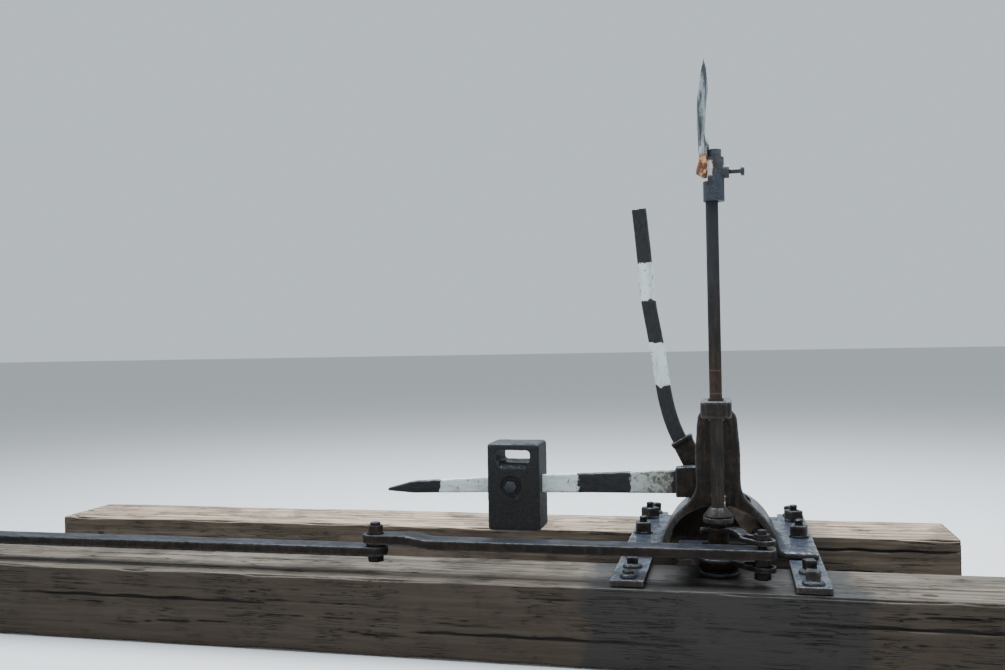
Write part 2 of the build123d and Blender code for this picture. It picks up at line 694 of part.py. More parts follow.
def make_lever_pin():
    """Driving pin fixed in the lower arm, which works in the yoke's slot."""
    back = LEVER_Y + LOWER_ARM_THICKNESS / 2
    front = LEVER_Y - LOWER_ARM_THICKNESS / 2 - SIDE_GAP - LUG_THICKNESS - SIDE_GAP
    with BuildPart() as pin:
        with BuildSketch(upright(back)):
            with Locations((LEVER_PIN_X, PIN_REST_HEIGHT)):
                Circle(LEVER_PIN_DIAMETER / 2)
        extrude(amount=back - front)
        with BuildSketch(upright(back + LEVER_PIN_HEAD_THICKNESS)):
            with Locations((LEVER_PIN_X, PIN_REST_HEIGHT)):
                Circle(LEVER_PIN_HEAD / 2)
        extrude(amount=LEVER_PIN_HEAD_THICKNESS)
    finish(pin, "lever_pin")


def make_handle_bar():
    """Flat handle bar, gently bent, set into the lever's socket."""
    left = handle_side(-HANDLE_WIDTH / 2)
    right = handle_side(HANDLE_WIDTH / 2)
    with BuildPart() as handle:
        with BuildSketch(upright(LEVER_Y + HANDLE_THICKNESS / 2)):
            with BuildLine():
                Spline(*left)
                Line(left[-1], right[-1])
                Spline(*right)
                Line(right[0], left[0])
            make_face()
        extrude(amount=HANDLE_THICKNESS)
    finish(handle, "handle_bar")


# Balance bar's outline, X and height, from its seat to the tip
BAR_SEAT_X = -58
BALANCE_TOP = ((BAR_SEAT_X, 214), (-104, 213), (-397, 200), (-592, 189), (-787, 177), (-857, 158))
BALANCE_BOTTOM = ((-857, 150), (-787, 145), (-592, 150), (-397, 153), (-104, 156), (BAR_SEAT_X, 157))


def balance_outline(spare):
    """Corners of the balance bar in its own plane, spare further out above and below."""
    top = [(x, z + spare) for x, z in BALANCE_TOP]
    bottom = [(x, z - spare) for x, z in BALANCE_BOTTOM]
    return top + bottom


def make_balance_arm():
    """Hub of the balance lever, with the socket that grips the bar."""
    with BuildPart() as arm:
        with BuildSketch(upright(BALANCE_BACK)):
            with Locations((0, AXLE_HEIGHT)):
                Circle(HUB_RADIUS)
        extrude(amount=BALANCE_HUB_LENGTH)
        socket_depth = BAR_THICKNESS + 2 * BALANCE_SOCKET_WALL
        socket_head = BALANCE_TOP[1][1] + BALANCE_SOCKET_WALL
        socket_floor = BALANCE_BOTTOM[-2][1] - BALANCE_SOCKET_WALL
        with BuildSketch(upright(BALANCE_Y + socket_depth / 2)):
            with Locations((0, AXLE_HEIGHT)):
                Circle(HUB_RADIUS * 0.95)
            with BuildLine():
                Polyline(
                    (BALANCE_SOCKET_MOUTH, socket_head),
                    (BALANCE_SOCKET_MOUTH, socket_floor),
                    (BALANCE_SOCKET_MOUTH + BALANCE_SOCKET_LIP, socket_floor),
                    (BALANCE_SOCKET_MOUTH + BALANCE_SOCKET_LIP, socket_head),
                    close=True,
                )
            make_face()
            make_hull()
        extrude(amount=socket_depth)
        with BuildSketch(upright(BALANCE_Y + BAR_THICKNESS / 2 + FIT_GAP)):
            with BuildLine():
                Polyline(*balance_outline(FIT_GAP), close=True)
            make_face()
        extrude(amount=BAR_THICKNESS + 2 * FIT_GAP, mode=Mode.SUBTRACT)
        with BuildSketch(upright(BALANCE_BACK)):
            with Locations((0, AXLE_HEIGHT)):
                Circle(AXLE_BORE / 2)
        extrude(amount=BALANCE_HUB_LENGTH, mode=Mode.SUBTRACT)
    finish(arm, "balance_arm")


def make_balance_bar():
    """Tapered bar from the hub's socket to the tip."""
    with BuildPart() as bar:
        with BuildSketch(upright(BALANCE_Y + BAR_THICKNESS / 2)):
            with BuildLine():
                Polyline(*balance_outline(0), close=True)
            make_face()
        extrude(amount=BAR_THICKNESS)
    finish(bar, "balance_bar")


def make_counterweight():
    """Cast block with a hand window, threaded on the balance bar."""
    front = BALANCE_Y - WEIGHT_DEPTH / 2
    with BuildPart() as weight:
        with BuildSketch(upright(front + WEIGHT_DEPTH)):
            with Locations((WEIGHT_X, WEIGHT_FLOOR + WEIGHT_HEIGHT / 2)):
                Rectangle(WEIGHT_WIDTH, WEIGHT_HEIGHT)
        extrude(amount=WEIGHT_DEPTH)
        fillet(weight.edges(), radius=WEIGHT_ROUND)
        with BuildSketch(upright(front + WEIGHT_DEPTH)):
            with Locations((WEIGHT_X, WINDOW_FLOOR + WINDOW_HEIGHT / 2)):
                RectangleRounded(WINDOW_WIDTH, WINDOW_HEIGHT, WINDOW_CORNER)
        extrude(amount=WEIGHT_DEPTH, mode=Mode.SUBTRACT)
        # Sloped ledge below the window's front
        ledge_width = WINDOW_WIDTH - 2 * WINDOW_CORNER
        with BuildSketch(lengthwise(WEIGHT_X - ledge_width / 2)):
            with BuildLine():
                Polyline(
                    (front, WINDOW_FLOOR - WINDOW_LEDGE),
                    (front, WINDOW_FLOOR + WINDOW_CORNER),
                    (front + WINDOW_LEDGE, WINDOW_FLOOR + WINDOW_CORNER),
                    (front + WINDOW_LEDGE, WINDOW_FLOOR),
                    close=True,
                )
            make_face()
        extrude(amount=ledge_width, mode=Mode.SUBTRACT)
        with BuildSketch(upright(BALANCE_Y + BAR_THICKNESS / 2 + FIT_GAP)):
            with BuildLine():
                Polyline(*balance_outline(FIT_GAP), close=True)
            make_face()
        extrude(amount=BAR_THICKNESS + 2 * FIT_GAP, mode=Mode.SUBTRACT)
        with BuildSketch(upright(front + SET_BOLT_RECESS_DEPTH)):
            with Locations((SET_BOLT_X, SET_BOLT_HEIGHT)):
                Circle(SET_BOLT_RECESS / 2)
        extrude(amount=SET_BOLT_RECESS_DEPTH, mode=Mode.SUBTRACT)
        with BuildSketch(upright(BALANCE_Y)):
            with Locations((SET_BOLT_X, SET_BOLT_HEIGHT)):
                Circle(SET_BOLT_DIAMETER / 2 + FIT_GAP)
        extrude(amount=WEIGHT_DEPTH, mode=Mode.SUBTRACT)
    finish(weight, "counterweight")


def make_set_bolt():
    """Bolt that clamps the counterweight to the bar."""
    seat = BALANCE_Y - WEIGHT_DEPTH / 2 + SET_BOLT_RECESS_DEPTH
    tip = BALANCE_Y - BAR_THICKNESS / 2
    with BuildPart() as bolt:
        with BuildSketch(upright(tip)):
            with Locations((SET_BOLT_X, SET_BOLT_HEIGHT)):
                Circle(SET_BOLT_DIAMETER / 2)
        extrude(amount=tip - seat)
        with BuildSketch(upright(seat)):
            with Locations((SET_BOLT_X, SET_BOLT_HEIGHT)):
                RegularPolygon(SET_BOLT_HEAD / 2, 6, major_radius=True)
        extrude(amount=SET_BOLT_HEAD_LENGTH)
    finish(bolt, "set_bolt")


def make_drive_bar():
    """Flat bar in front of the shaft, with a small rise to its left eye."""
    with BuildPart() as bar:
        with BuildSketch(upright(DRIVE_Y + BAR_WIDTH / 2)):
            with BuildLine():
                Polyline(
                    (BAR_RIGHT, BAR_FLOOR),
                    (BAR_RIGHT, BAR_HEAD),
                    (BAR_STEP_X, BAR_HEAD),
                    (BAR_STEP_X - BAR_STEP_RUN, BAR_HEAD + BAR_STEP_RISE),
                    (JOINT_X - BAR_WIDTH / 2, BAR_HEAD + BAR_STEP_RISE),
                    (JOINT_X - BAR_WIDTH / 2, JOINT_FLOOR),
                    (BAR_STEP_X - BAR_STEP_RUN, JOINT_FLOOR),
                    (BAR_STEP_X, BAR_FLOOR),
                    close=True,
                )
            make_face()
        extrude(amount=BAR_WIDTH)
        ends = bar.edges().filter_by(Axis.Z)
        fillet(ends.group_by(Axis.X)[0], radius=BAR_WIDTH / 2 - 1)
        fillet(bar.edges().filter_by(Axis.Z).group_by(Axis.X)[-1], radius=BAR_WIDTH / 3)
        with BuildSketch(level(0)):
            with Locations((HALF_STROKE, DRIVE_Y)):
                Circle(CRANK_PIN_DIAMETER / 2 + FIT_GAP)
            with Locations((JOINT_X, DRIVE_Y)):
                Circle(JOINT_BOLT_DIAMETER / 2 + FIT_GAP)
        extrude(amount=2 * BAR_HEAD, mode=Mode.SUBTRACT)
    finish(bar, "drive_bar")


def make_drive_yoke():
    """Forging under the bar that reaches round the shaft to the lever's driving pin."""
    bar_front = DRIVE_Y - BAR_WIDTH / 2
    lug_back = LEVER_Y - LOWER_ARM_THICKNESS / 2 - SIDE_GAP
    lug_front = lug_back - LUG_THICKNESS
    limb_front = YOKE_BACK_LINE - YOKE_WIDTH / 2
    limb_back = YOKE_BACK_LINE + YOKE_WIDTH / 2
    join_left = YOKE_JOIN_X - YOKE_JOIN_WIDTH / 2
    join_right = YOKE_JOIN_X + YOKE_JOIN_WIDTH / 2
    arm_right = LEVER_PIN_X + YOKE_WIDTH / 2
    slot_height = PIN_REST_HEIGHT - PIN_LOW_HEIGHT + LEVER_PIN_DIAMETER + 2 * LUG_SLOT_SPARE
    slot_middle = (PIN_REST_HEIGHT + PIN_LOW_HEIGHT) / 2
    slot_width = LEVER_PIN_DIAMETER + 2 * LUG_SLOT_SPARE
    with BuildPart() as yoke:
        with BuildSketch(level(YOKE_FLOOR)) as limb:
            with BuildLine():
                Polyline(
                    (join_left, bar_front),
                    (join_right, bar_front),
                    (join_right, limb_front),
                    (arm_right, limb_front),
                    (arm_right, lug_back),
                    (arm_right - YOKE_WIDTH, lug_back),
                    (arm_right - YOKE_WIDTH, limb_back),
                    (join_left, limb_back),
                    close=True,
                )
            make_face()
            fillet(limb.vertices().group_by(Axis.Y)[0], radius=YOKE_NOSE)
            for bend in ((arm_right, limb_front), (join_left, limb_back)):
                fillet(limb.vertices().sort_by_distance((bend[0], bend[1], 0))[0], radius=YOKE_BEND)
        extrude(amount=YOKE_DEPTH)
        # Lug with the slot of the lever's pin, its head drawn in clear of the hood
        with BuildSketch(upright(lug_back)):
            with BuildLine():
                Polyline(
                    (LEVER_PIN_X - LUG_HALF_WIDTH, LUG_FLOOR),
                    (LEVER_PIN_X + LUG_HALF_WIDTH, LUG_FLOOR),
                    (LEVER_PIN_X + LUG_HALF_WIDTH, YOKE_FLOOR),
                    (arm_right, BAR_FLOOR),
                    (arm_right - YOKE_WIDTH, BAR_FLOOR),
                    (LEVER_PIN_X - LUG_HALF_WIDTH, YOKE_FLOOR),
                    close=True,
                )
            make_face()
        extrude(amount=LUG_THICKNESS)
        with BuildSketch(upright(lug_back)):
            with Locations((LEVER_PIN_X, slot_middle)):
                SlotOverall(slot_height, slot_width, rotation=90)
        extrude(amount=LUG_THICKNESS, mode=Mode.SUBTRACT)
    finish(yoke, "drive_yoke")


def make_crank_bolt():
    """Upright shouldered bolt that stands in the drive bar and works in the crank's slots."""
    head_top = CRANK_LOWER_FLOOR - CRANK_PIN_PLAY
    collar_floor = LOWER_ARM_HEAD + RUNNING_GAP
    with BuildPart() as bolt:
        with BuildSketch(level(head_top - CRANK_PIN_HEAD_THICKNESS)):
            with Locations((HALF_STROKE, DRIVE_Y)):
                RegularPolygon(CRANK_PIN_HEAD / 2, 6, major_radius=True)
        extrude(amount=CRANK_PIN_HEAD_THICKNESS)
        with BuildSketch(level(head_top)):
            with Locations((HALF_STROKE, DRIVE_Y)):
                Circle(CRANK_PIN_DIAMETER / 2)
        extrude(amount=UPPER_ARM_HEAD + CRANK_PIN_END - head_top)
        with BuildSketch(level(collar_floor)):
            with Locations((HALF_STROKE, DRIVE_Y)):
                Circle(CRANK_PIN_COLLAR / 2)
        extrude(amount=BAR_FLOOR - collar_floor)
    finish(bolt, "crank_bolt")


def make_nut(name, across, floor, bolt_diameter, size, height):
    """Hexagon nut on a thick washer, on the drive line."""
    with BuildPart() as nut:
        with BuildSketch(level(floor)):
            with Locations((across, DRIVE_Y)):
                Circle(size / 2 + 1)
        extrude(amount=NUT_WASHER)
        with BuildSketch(level(floor + NUT_WASHER)):
            with Locations((across, DRIVE_Y)):
                RegularPolygon(size / 2, 6, major_radius=True)
        extrude(amount=height)
        with BuildSketch(level(floor)):
            with Locations((across, DRIVE_Y)):
                Circle(bolt_diameter / 2 + FIT_GAP)
        extrude(amount=NUT_WASHER + height, mode=Mode.SUBTRACT)
    finish(nut, name)


def make_joint_bolt():
    """Bolt that joins the drive bar's eye to the point rod."""
    with BuildPart() as bolt:
        with BuildSketch(level(ROD_FLOOR - JOINT_BOLT_HEAD_THICKNESS)):
            with Locations((JOINT_X, DRIVE_Y)):
                RegularPolygon(JOINT_BOLT_HEAD / 2, 6, major_radius=True)
        extrude(amount=JOINT_BOLT_HEAD_THICKNESS)
        with BuildSketch(level(ROD_FLOOR)):
            with Locations((JOINT_X, DRIVE_Y)):
                Circle(JOINT_BOLT_DIAMETER / 2)
        extrude(amount=BAR_HEAD + BAR_STEP_RISE + JOINT_BOLT_END - ROD_FLOOR)
    finish(bolt, "joint_bolt")


def make_joint_spacer():
    """Spacer ring between the drive bar's eye and the point rod."""
    with BuildPart() as spacer:
        with BuildSketch(level(ROD_HEAD)):
            with Locations((JOINT_X, DRIVE_Y)):
                Circle(JOINT_BOLT_DIAMETER / 2 + JOINT_SPACER_WALL)
                Circle(JOINT_BOLT_DIAMETER / 2 + FIT_GAP, mode=Mode.SUBTRACT)
        extrude(amount=JOINT_SPACER)
    finish(spacer, "joint_spacer")


def make_point_rod():
    """Flat rod that runs on to the points and ends in an eye."""
    length = JOINT_X - ROD_LEFT
    with BuildPart() as rod:
        with BuildSketch(level(ROD_FLOOR)):
            with Locations(((JOINT_X + ROD_LEFT) / 2, DRIVE_Y)):
                SlotCenterToCenter(length, BAR_WIDTH)
            with Locations((JOINT_X, DRIVE_Y)):
                Circle(JOINT_BOLT_DIAMETER / 2 + FIT_GAP, mode=Mode.SUBTRACT)
            with Locations((ROD_LEFT, DRIVE_Y)):
                Circle(ROD_END_BORE / 2, mode=Mode.SUBTRACT)
        extrude(amount=ROD_DEPTH)
    finish(rod, "point_rod")


def make_flag_shaft():
    """Upright square shaft, round in its three bearings and where the flag socket grips it."""
    journals = (
        (FOOT_FLOOR, CUP_SEAT),
        (LOWER_BEARING_FLOOR - JOURNAL_SPARE, SKIRT_HEAD),
        (UPPER_BEARING_FLOOR - JOURNAL_SPARE, UPPER_BEARING_HEAD + JOURNAL_SPARE),
    )
    with BuildPart() as shaft:
        with BuildSketch(level(CUP_SEAT)) as square:
            with Locations((0, SHAFT_Y)):
                Rectangle(SHAFT_FLATS, SHAFT_FLATS)
            chamfer(square.vertices(), length=SHAFT_CORNER)
        extrude(amount=FLAG_SOCKET_FLOOR - CUP_SEAT)
        for floor, head in journals:
            with BuildSketch(level(floor)):
                with Locations((0, SHAFT_Y)):
                    Circle(SHAFT_JOURNAL / 2)
            extrude(amount=head - floor)
        with BuildSketch(level(FLAG_SOCKET_FLOOR)):
            with Locations((0, SHAFT_Y)):
                Circle(SHAFT_SPIGOT / 2)
        extrude(amount=SHAFT_HEAD - FLAG_SOCKET_FLOOR)
    finish(shaft, "flag_shaft")


def make_shaft_skirt():
    """Conical ring on the shaft that keeps the rain out of the lower bearing."""
    with BuildPart() as skirt:
        with Locations((STAND_X, SHAFT_Y, TIMBER_HEIGHT + SKIRT_FLOOR)):
            Cone(SKIRT_RADIUS, SKIRT_NECK, SKIRT_HEIGHT, align=(Align.CENTER, Align.CENTER, Align.MIN))
        with BuildSketch(level(SKIRT_FLOOR)):
            with Locations((0, SHAFT_Y)):
                Circle(SHAFT_JOURNAL / 2 + FIT_GAP)
        extrude(amount=SKIRT_HEIGHT, mode=Mode.SUBTRACT)
    finish(skirt, "shaft_skirt")


def crank_plane(height):
    """Horizontal plane on the shaft's axis, its X along the crank's arms at rest."""
    turn = radians(CRANK_REST_ANGLE)
    return Plane(
        origin=(STAND_X, SHAFT_Y, TIMBER_HEIGHT + height),
        x_dir=(cos(turn), sin(turn), 0),
        z_dir=(0, 0, 1),
    )


def make_flag_crank():
    """Crank on the shaft: a cup over the footstep, a slotted arm below the drive bar and an arched one above it."""
    near = DRIVE_LINE
    far = hypot(DRIVE_LINE, HALF_STROKE)
    slot_width = CRANK_PIN_DIAMETER + 2 * (CRANK_SLOT_LEAD + CRANK_SLOT_PLAY)
    slot_run = far - near + CRANK_SLOT_SPARE
    slot_middle = (near + far) / 2
    eye_start = slot_middle - (slot_run + slot_width) / 2 - CRANK_WALL
    turn = radians(CRANK_REST_ANGLE)
    side_plane = Plane(
        origin=(STAND_X, SHAFT_Y, TIMBER_HEIGHT),
        x_dir=(cos(turn), sin(turn), 0),
        z_dir=(sin(turn), -cos(turn), 0),
    )
    with BuildPart() as crank:
        # Cup and hub
        with BuildSketch(lengthwise(0)):
            with BuildLine():
                rim = [(SHAFT_Y + reach, CUP_FLOOR + rise) for reach, rise in CUP_PROFILE]
                Polyline((SHAFT_Y, CUP_FLOOR), *rim, (SHAFT_Y, CUP_FLOOR + CUP_PROFILE[-1][1]), close=True)
            make_face()
        revolve(axis=Axis((STAND_X, SHAFT_Y, 0), (0, 0, 1)))
        with BuildSketch(crank_plane(CUP_SEAT)):
            Circle(CRANK_HUB_RADIUS)
        extrude(amount=CRANK_HUB_HEAD - CUP_SEAT)
        # Eyes of the two arms
        for floor in (CRANK_LOWER_FLOOR, UPPER_ARM_FLOOR):
            with BuildSketch(crank_plane(floor)):
                with Locations((slot_middle, 0)):
                    SlotCenterToCenter(slot_run, slot_width + 2 * CRANK_WALL)
            extrude(amount=CRANK_ARM_THICKNESS)
        with BuildSketch(crank_plane(CRANK_LOWER_FLOOR)):
            with Locations((slot_middle / 2, 0)):
                Rectangle(slot_middle, CRANK_ARM_WIDTH)
        extrude(amount=CRANK_ARM_THICKNESS)
        # Arched strap of the upper arm
        strap_start = CRANK_HUB_RADIUS / 2
        strap_end = eye_start + CRANK_WALL
        strap_middle = (CRANK_HUB_RADIUS + eye_start) / 2
        with BuildSketch(side_plane):
            with BuildLine():
                ThreePointArc(
                    (strap_start, UPPER_ARM_FLOOR),
                    (strap_middle, UPPER_ARM_FLOOR + CRANK_ARCH),
                    (strap_end, UPPER_ARM_FLOOR),
                )
                Line((strap_end, UPPER_ARM_FLOOR), (strap_end, UPPER_ARM_HEAD))
                ThreePointArc(
                    (strap_end, UPPER_ARM_HEAD),
                    (strap_middle, UPPER_ARM_HEAD + CRANK_ARCH),
                    (strap_start, UPPER_ARM_HEAD),
                )
                Line((strap_start, UPPER_ARM_HEAD), (strap_start, UPPER_ARM_FLOOR))
            make_face()
        extrude(amount=CRANK_ARM_WIDTH / 2, both=True)
        # Boss of the clamp screw that grips the shaft
        with BuildSketch(lengthwise(-CRANK_SCREW_REACH)):
            with Locations((SHAFT_Y, (UPPER_ARM_FLOOR + CRANK_HUB_HEAD) / 2)):
                Circle(CRANK_SCREW_RADIUS)
        extrude(amount=CRANK_SCREW_REACH - SHAFT_FLATS / 2)
        # Slots, room over the footstep and square hole for the shaft
        with BuildSketch(crank_plane(CRANK_LOWER_FLOOR)):
            with Locations((slot_middle, 0)):
                SlotCenterToCenter(slot_run, slot_width)
        extrude(amount=CRANK_HUB_HEAD - CRANK_LOWER_FLOOR, mode=Mode.SUBTRACT)
        with BuildSketch(level(CUP_FLOOR)):
            with Locations((0, SHAFT_Y)):
                Circle(FOOT_BOSS_RADIUS + CUP_GAP)
        extrude(amount=CUP_SEAT - CUP_FLOOR, mode=Mode.SUBTRACT)
        with BuildSketch(level(CUP_SEAT)) as square:
            with Locations((0, SHAFT_Y)):
                Rectangle(SHAFT_FLATS + 2 * FIT_GAP, SHAFT_FLATS + 2 * FIT_GAP)
            chamfer(square.vertices(), length=SHAFT_CORNER)
        extrude(amount=CRANK_HUB_HEAD - CUP_SEAT, mode=Mode.SUBTRACT)
    finish(crank, "flag_crank")


def make_flag_socket():
    """Socket on the shaft's head, flat on its left side where the board is clamped."""
    with BuildPart() as socket:
        with BuildSketch(level(FLAG_SOCKET_FLOOR)):
            with Locations((FLAG_SOCKET_SHIFT, SHAFT_Y)):
                Circle(FLAG_SOCKET_RADIUS)
        extrude(amount=FLAG_SOCKET_HEAD - FLAG_SOCKET_FLOOR)
        with BuildSketch(level(FLAG_SOCKET_HEAD)):
            with Locations((FLAG_NECK_SHIFT, SHAFT_Y)):
                Circle(FLAG_NECK_RADIUS)
        extrude(amount=FLAG_NECK_HEAD - FLAG_SOCKET_HEAD)
        with BuildSketch(lengthwise(0)):
            with Locations((SHAFT_Y, SCREW_HEIGHT)):
                Circle(SCREW_BOSS_RADIUS)
        extrude(amount=SCREW_BOSS_REACH)
        with BuildSketch(level(FLAG_SOCKET_FLOOR)):
            with Locations((0, SHAFT_Y)):
                Circle(SHAFT_SPIGOT / 2 + FIT_GAP)
        extrude(amount=FLAG_SOCKET_BORE, mode=Mode.SUBTRACT)
        flat_width = 2 * FLAG_SOCKET_RADIUS
        with BuildSketch(level(FLAG_FLAT_FLOOR)):
            with Locations((FLAG_FLAT_X - flat_width / 2, SHAFT_Y)):
                Rectangle(flat_width, 2 * flat_width)
        extrude(amount=FLAG_NECK_HEAD - FLAG_FLAT_FLOOR, mode=Mode.SUBTRACT)
        with BuildSketch(lengthwise(FLAG_FLAT_X - 1)):
            with Locations((SHAFT_Y, SCREW_HEIGHT)):
                Circle(SCREW_DIAMETER / 2 + FIT_GAP)
        extrude(amount=SCREW_BOSS_REACH - FLAG_FLAT_X + 2, mode=Mode.SUBTRACT)
    finish(socket, "flag_socket")


# Outlines of the broken board from the flat and the screw: seen from the front, then from the side
BOARD_FACE = (
    (-28, 1),
    (-8, -14),
    (0, -10),
    (0, 54),
    (6, 58),
    (2, 71),
    (-3, 87),
    (-3, 114),
    (-1, 144),
    (2, 169),
    (6, 198),
    (5, 213),
    (2, 241),
    (-4, 265),
    (-10, 240),
    (-15, 213),
    (-21, 173),
    (-22, 103),
    (-20, 50),
    (-19, 37),
    (-23, 16),
)
BOARD_EDGE = (
    (-32, -3),
    (-8, -14),
    (20, -10),
    (32, 7),
    (30, 92),
    (24, 142),
    (16, 192),
    (4, 232),
    (2, 266),
    (-6, 247),
    (-18, 172),
    (-28, 122),
)


def make_signal_board():
    """What is left of the signal board: a split, rotten plank clamped to the socket's flat."""
    with BuildPart() as board:
        with BuildSketch(upright(SHAFT_Y + BOARD_WIDTH / 2)):
            with BuildLine():
                Polyline(*[(FLAG_FLAT_X + out, SCREW_HEIGHT + rise) for out, rise in BOARD_FACE], close=True)
            make_face()
        extrude(amount=BOARD_WIDTH)
        with BuildSketch(lengthwise(-BOARD_REACH)):
            with BuildLine():
                Polyline(*[(SHAFT_Y + along, SCREW_HEIGHT + rise) for along, rise in BOARD_EDGE], close=True)
            make_face()
        extrude(amount=2 * BOARD_REACH, mode=Mode.INTERSECT)
        with BuildSketch(lengthwise(-BOARD_REACH)):
            with Locations((SHAFT_Y, SCREW_HEIGHT)):
                Circle(SCREW_DIAMETER / 2 + FIT_GAP)
        extrude(amount=2 * BOARD_REACH, mode=Mode.SUBTRACT)
    finish(board, "signal_board")


def make_clamp_screw():
    """Screw that clamps the board to the socket."""
    inner = FLAG_FLAT_X - SCREW_TIP
    with BuildPart() as screw:
        with BuildSketch(lengthwise(inner)):
            with Locations((SHAFT_Y, SCREW_HEIGHT)):
                Circle(SCREW_DIAMETER / 2)
        extrude(amount=SCREW_REACH - inner)
        with BuildSketch(lengthwise(SCREW_REACH - SCREW_HEAD_LENGTH)):
            with Locations((SHAFT_Y, SCREW_HEIGHT)):
                Circle(SCREW_HEAD_DIAMETER / 2)
        extrude(amount=SCREW_HEAD_LENGTH)
    finish(screw, "clamp_screw")


make_timber("timber_front", -TIMBER_PITCH / 2, TIMBER_STAGGER / 2, FRONT_TOP_CHECKS, FRONT_SIDE_CHECKS)
make_timber("timber_back", TIMBER_PITCH / 2, -TIMBER_STAGGER / 2, BACK_TOP_CHECKS, BACK_SIDE_CHECKS)
make_plate("plate_left", -PLATE_X)
make_plate("plate_right", PLATE_X)
make_stand_casting()
make_axle()
make_foot_bearing()
make_lever_arm()
make_lever_pin()
make_handle_bar()
make_balance_arm()
make_balance_bar()
make_counterweight()
make_set_bolt()
make_drive_bar()
make_drive_yoke()
make_crank_bolt()
make_nut(
    "crank_nut", HALF_STROKE, UPPER_ARM_HEAD + NUT_LIFT, CRANK_PIN_DIAMETER, CRANK_NUT_SIZE, CRANK_NUT_HEIGHT
)
make_joint_bolt()
make_nut("joint_nut", JOINT_X, BAR_HEAD + BAR_STEP_RISE, JOINT_BOLT_DIAMETER, JOINT_NUT_SIZE, JOINT_NUT_HEIGHT)
make_joint_spacer()
make_point_rod()
make_flag_shaft()
make_shaft_skirt()
make_flag_crank()
make_flag_socket()
make_signal_board()
make_clamp_screw()
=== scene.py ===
"""Looks of a hand-operated railway switch stand on two timbers: black paint, striped levers, old wood.

Metres, +Z up, +X along the timbers, +Y along the track. Heights in the stand count from the timbers'
upper face and places across it from the stand's centre line, as on its drawing.
"""
import json
import math

import bmesh
import bpy
import numpy as np
from mathutils import Matrix, Vector


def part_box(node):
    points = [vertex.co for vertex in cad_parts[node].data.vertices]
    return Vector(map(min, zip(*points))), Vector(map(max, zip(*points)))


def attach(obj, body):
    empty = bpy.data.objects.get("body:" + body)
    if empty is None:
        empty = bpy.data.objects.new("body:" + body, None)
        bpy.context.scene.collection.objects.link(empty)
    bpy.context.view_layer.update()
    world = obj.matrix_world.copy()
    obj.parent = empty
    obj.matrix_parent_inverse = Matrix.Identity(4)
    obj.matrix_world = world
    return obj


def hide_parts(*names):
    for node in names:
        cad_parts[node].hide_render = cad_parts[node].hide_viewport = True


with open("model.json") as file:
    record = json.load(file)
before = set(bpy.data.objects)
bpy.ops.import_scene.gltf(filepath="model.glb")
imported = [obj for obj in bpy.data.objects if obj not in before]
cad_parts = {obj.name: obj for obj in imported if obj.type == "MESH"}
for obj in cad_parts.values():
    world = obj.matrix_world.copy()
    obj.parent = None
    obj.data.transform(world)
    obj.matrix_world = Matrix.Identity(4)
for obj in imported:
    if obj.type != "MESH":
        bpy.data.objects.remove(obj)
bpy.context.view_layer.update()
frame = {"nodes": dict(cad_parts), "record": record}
nodes = frame["nodes"]

MM = 0.001

# Which body each node rides on, and which finish it has
BODY_OF = {
    node: body for body, members in frame["record"]["behaviour"]["bodies"].items() for node in members
}
FINISH_OF = {part["node"]: part["material_slot"] for part in frame["record"]["subparts"]}

# Places read from the frame
SHAFT_LOW, SHAFT_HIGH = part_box("flag_shaft")
STAND_X = (SHAFT_LOW.x + SHAFT_HIGH.x) / 2
SHAFT_Y = (SHAFT_LOW.y + SHAFT_HIGH.y) / 2
TIMBER_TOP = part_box("timber_front")[1].z
STAND = np.array([STAND_X, 0.0, TIMBER_TOP])

# Upper faces of the cross plates and of the casting's feet, above the timbers
PLATE_TOP = 0.016
FOOT_TOP = 0.034

# Camera, fitted to the cross plates and the timbers' edges
PHOTO_WIDTH = 1005
FOCAL_PIXELS = 955.1
SENSOR_WIDTH = 36.0
CAMERA_ACROSS = 0.034
CAMERA_DEPTH = -2.511
CAMERA_HEIGHT = 0.534
CAMERA_YAW = math.radians(13.384)
CAMERA_PITCH = math.radians(0.527)
CAMERA_ROLL = math.radians(-1.084)


def make_camera():
    """Camera of the photograph: turned left by the yaw, then tipped by the pitch and rolled."""
    ahead = Vector((
        -math.sin(CAMERA_YAW) * math.cos(CAMERA_PITCH),
        math.cos(CAMERA_YAW) * math.cos(CAMERA_PITCH),
        math.sin(CAMERA_PITCH),
    ))
    right = Vector((math.cos(CAMERA_YAW), math.sin(CAMERA_YAW), 0.0))
    up = right.cross(ahead)
    rolled_right = right * math.cos(CAMERA_ROLL) + up * math.sin(CAMERA_ROLL)
    rolled_up = up * math.cos(CAMERA_ROLL) - right * math.sin(CAMERA_ROLL)
    lens = bpy.data.cameras.new("camera")
    lens.sensor_width = SENSOR_WIDTH
    lens.lens = FOCAL_PIXELS * SENSOR_WIDTH / PHOTO_WIDTH
    camera = bpy.data.objects.new("camera", lens)
    turn = Matrix((rolled_right, rolled_up, -ahead)).transposed().to_4x4()
    place = Matrix.Translation((STAND_X + CAMERA_ACROSS, CAMERA_DEPTH, TIMBER_TOP + CAMERA_HEIGHT))
    camera.matrix_world = place @ turn
    bpy.context.scene.collection.objects.link(camera)
    bpy.context.scene.camera = camera


make_camera()


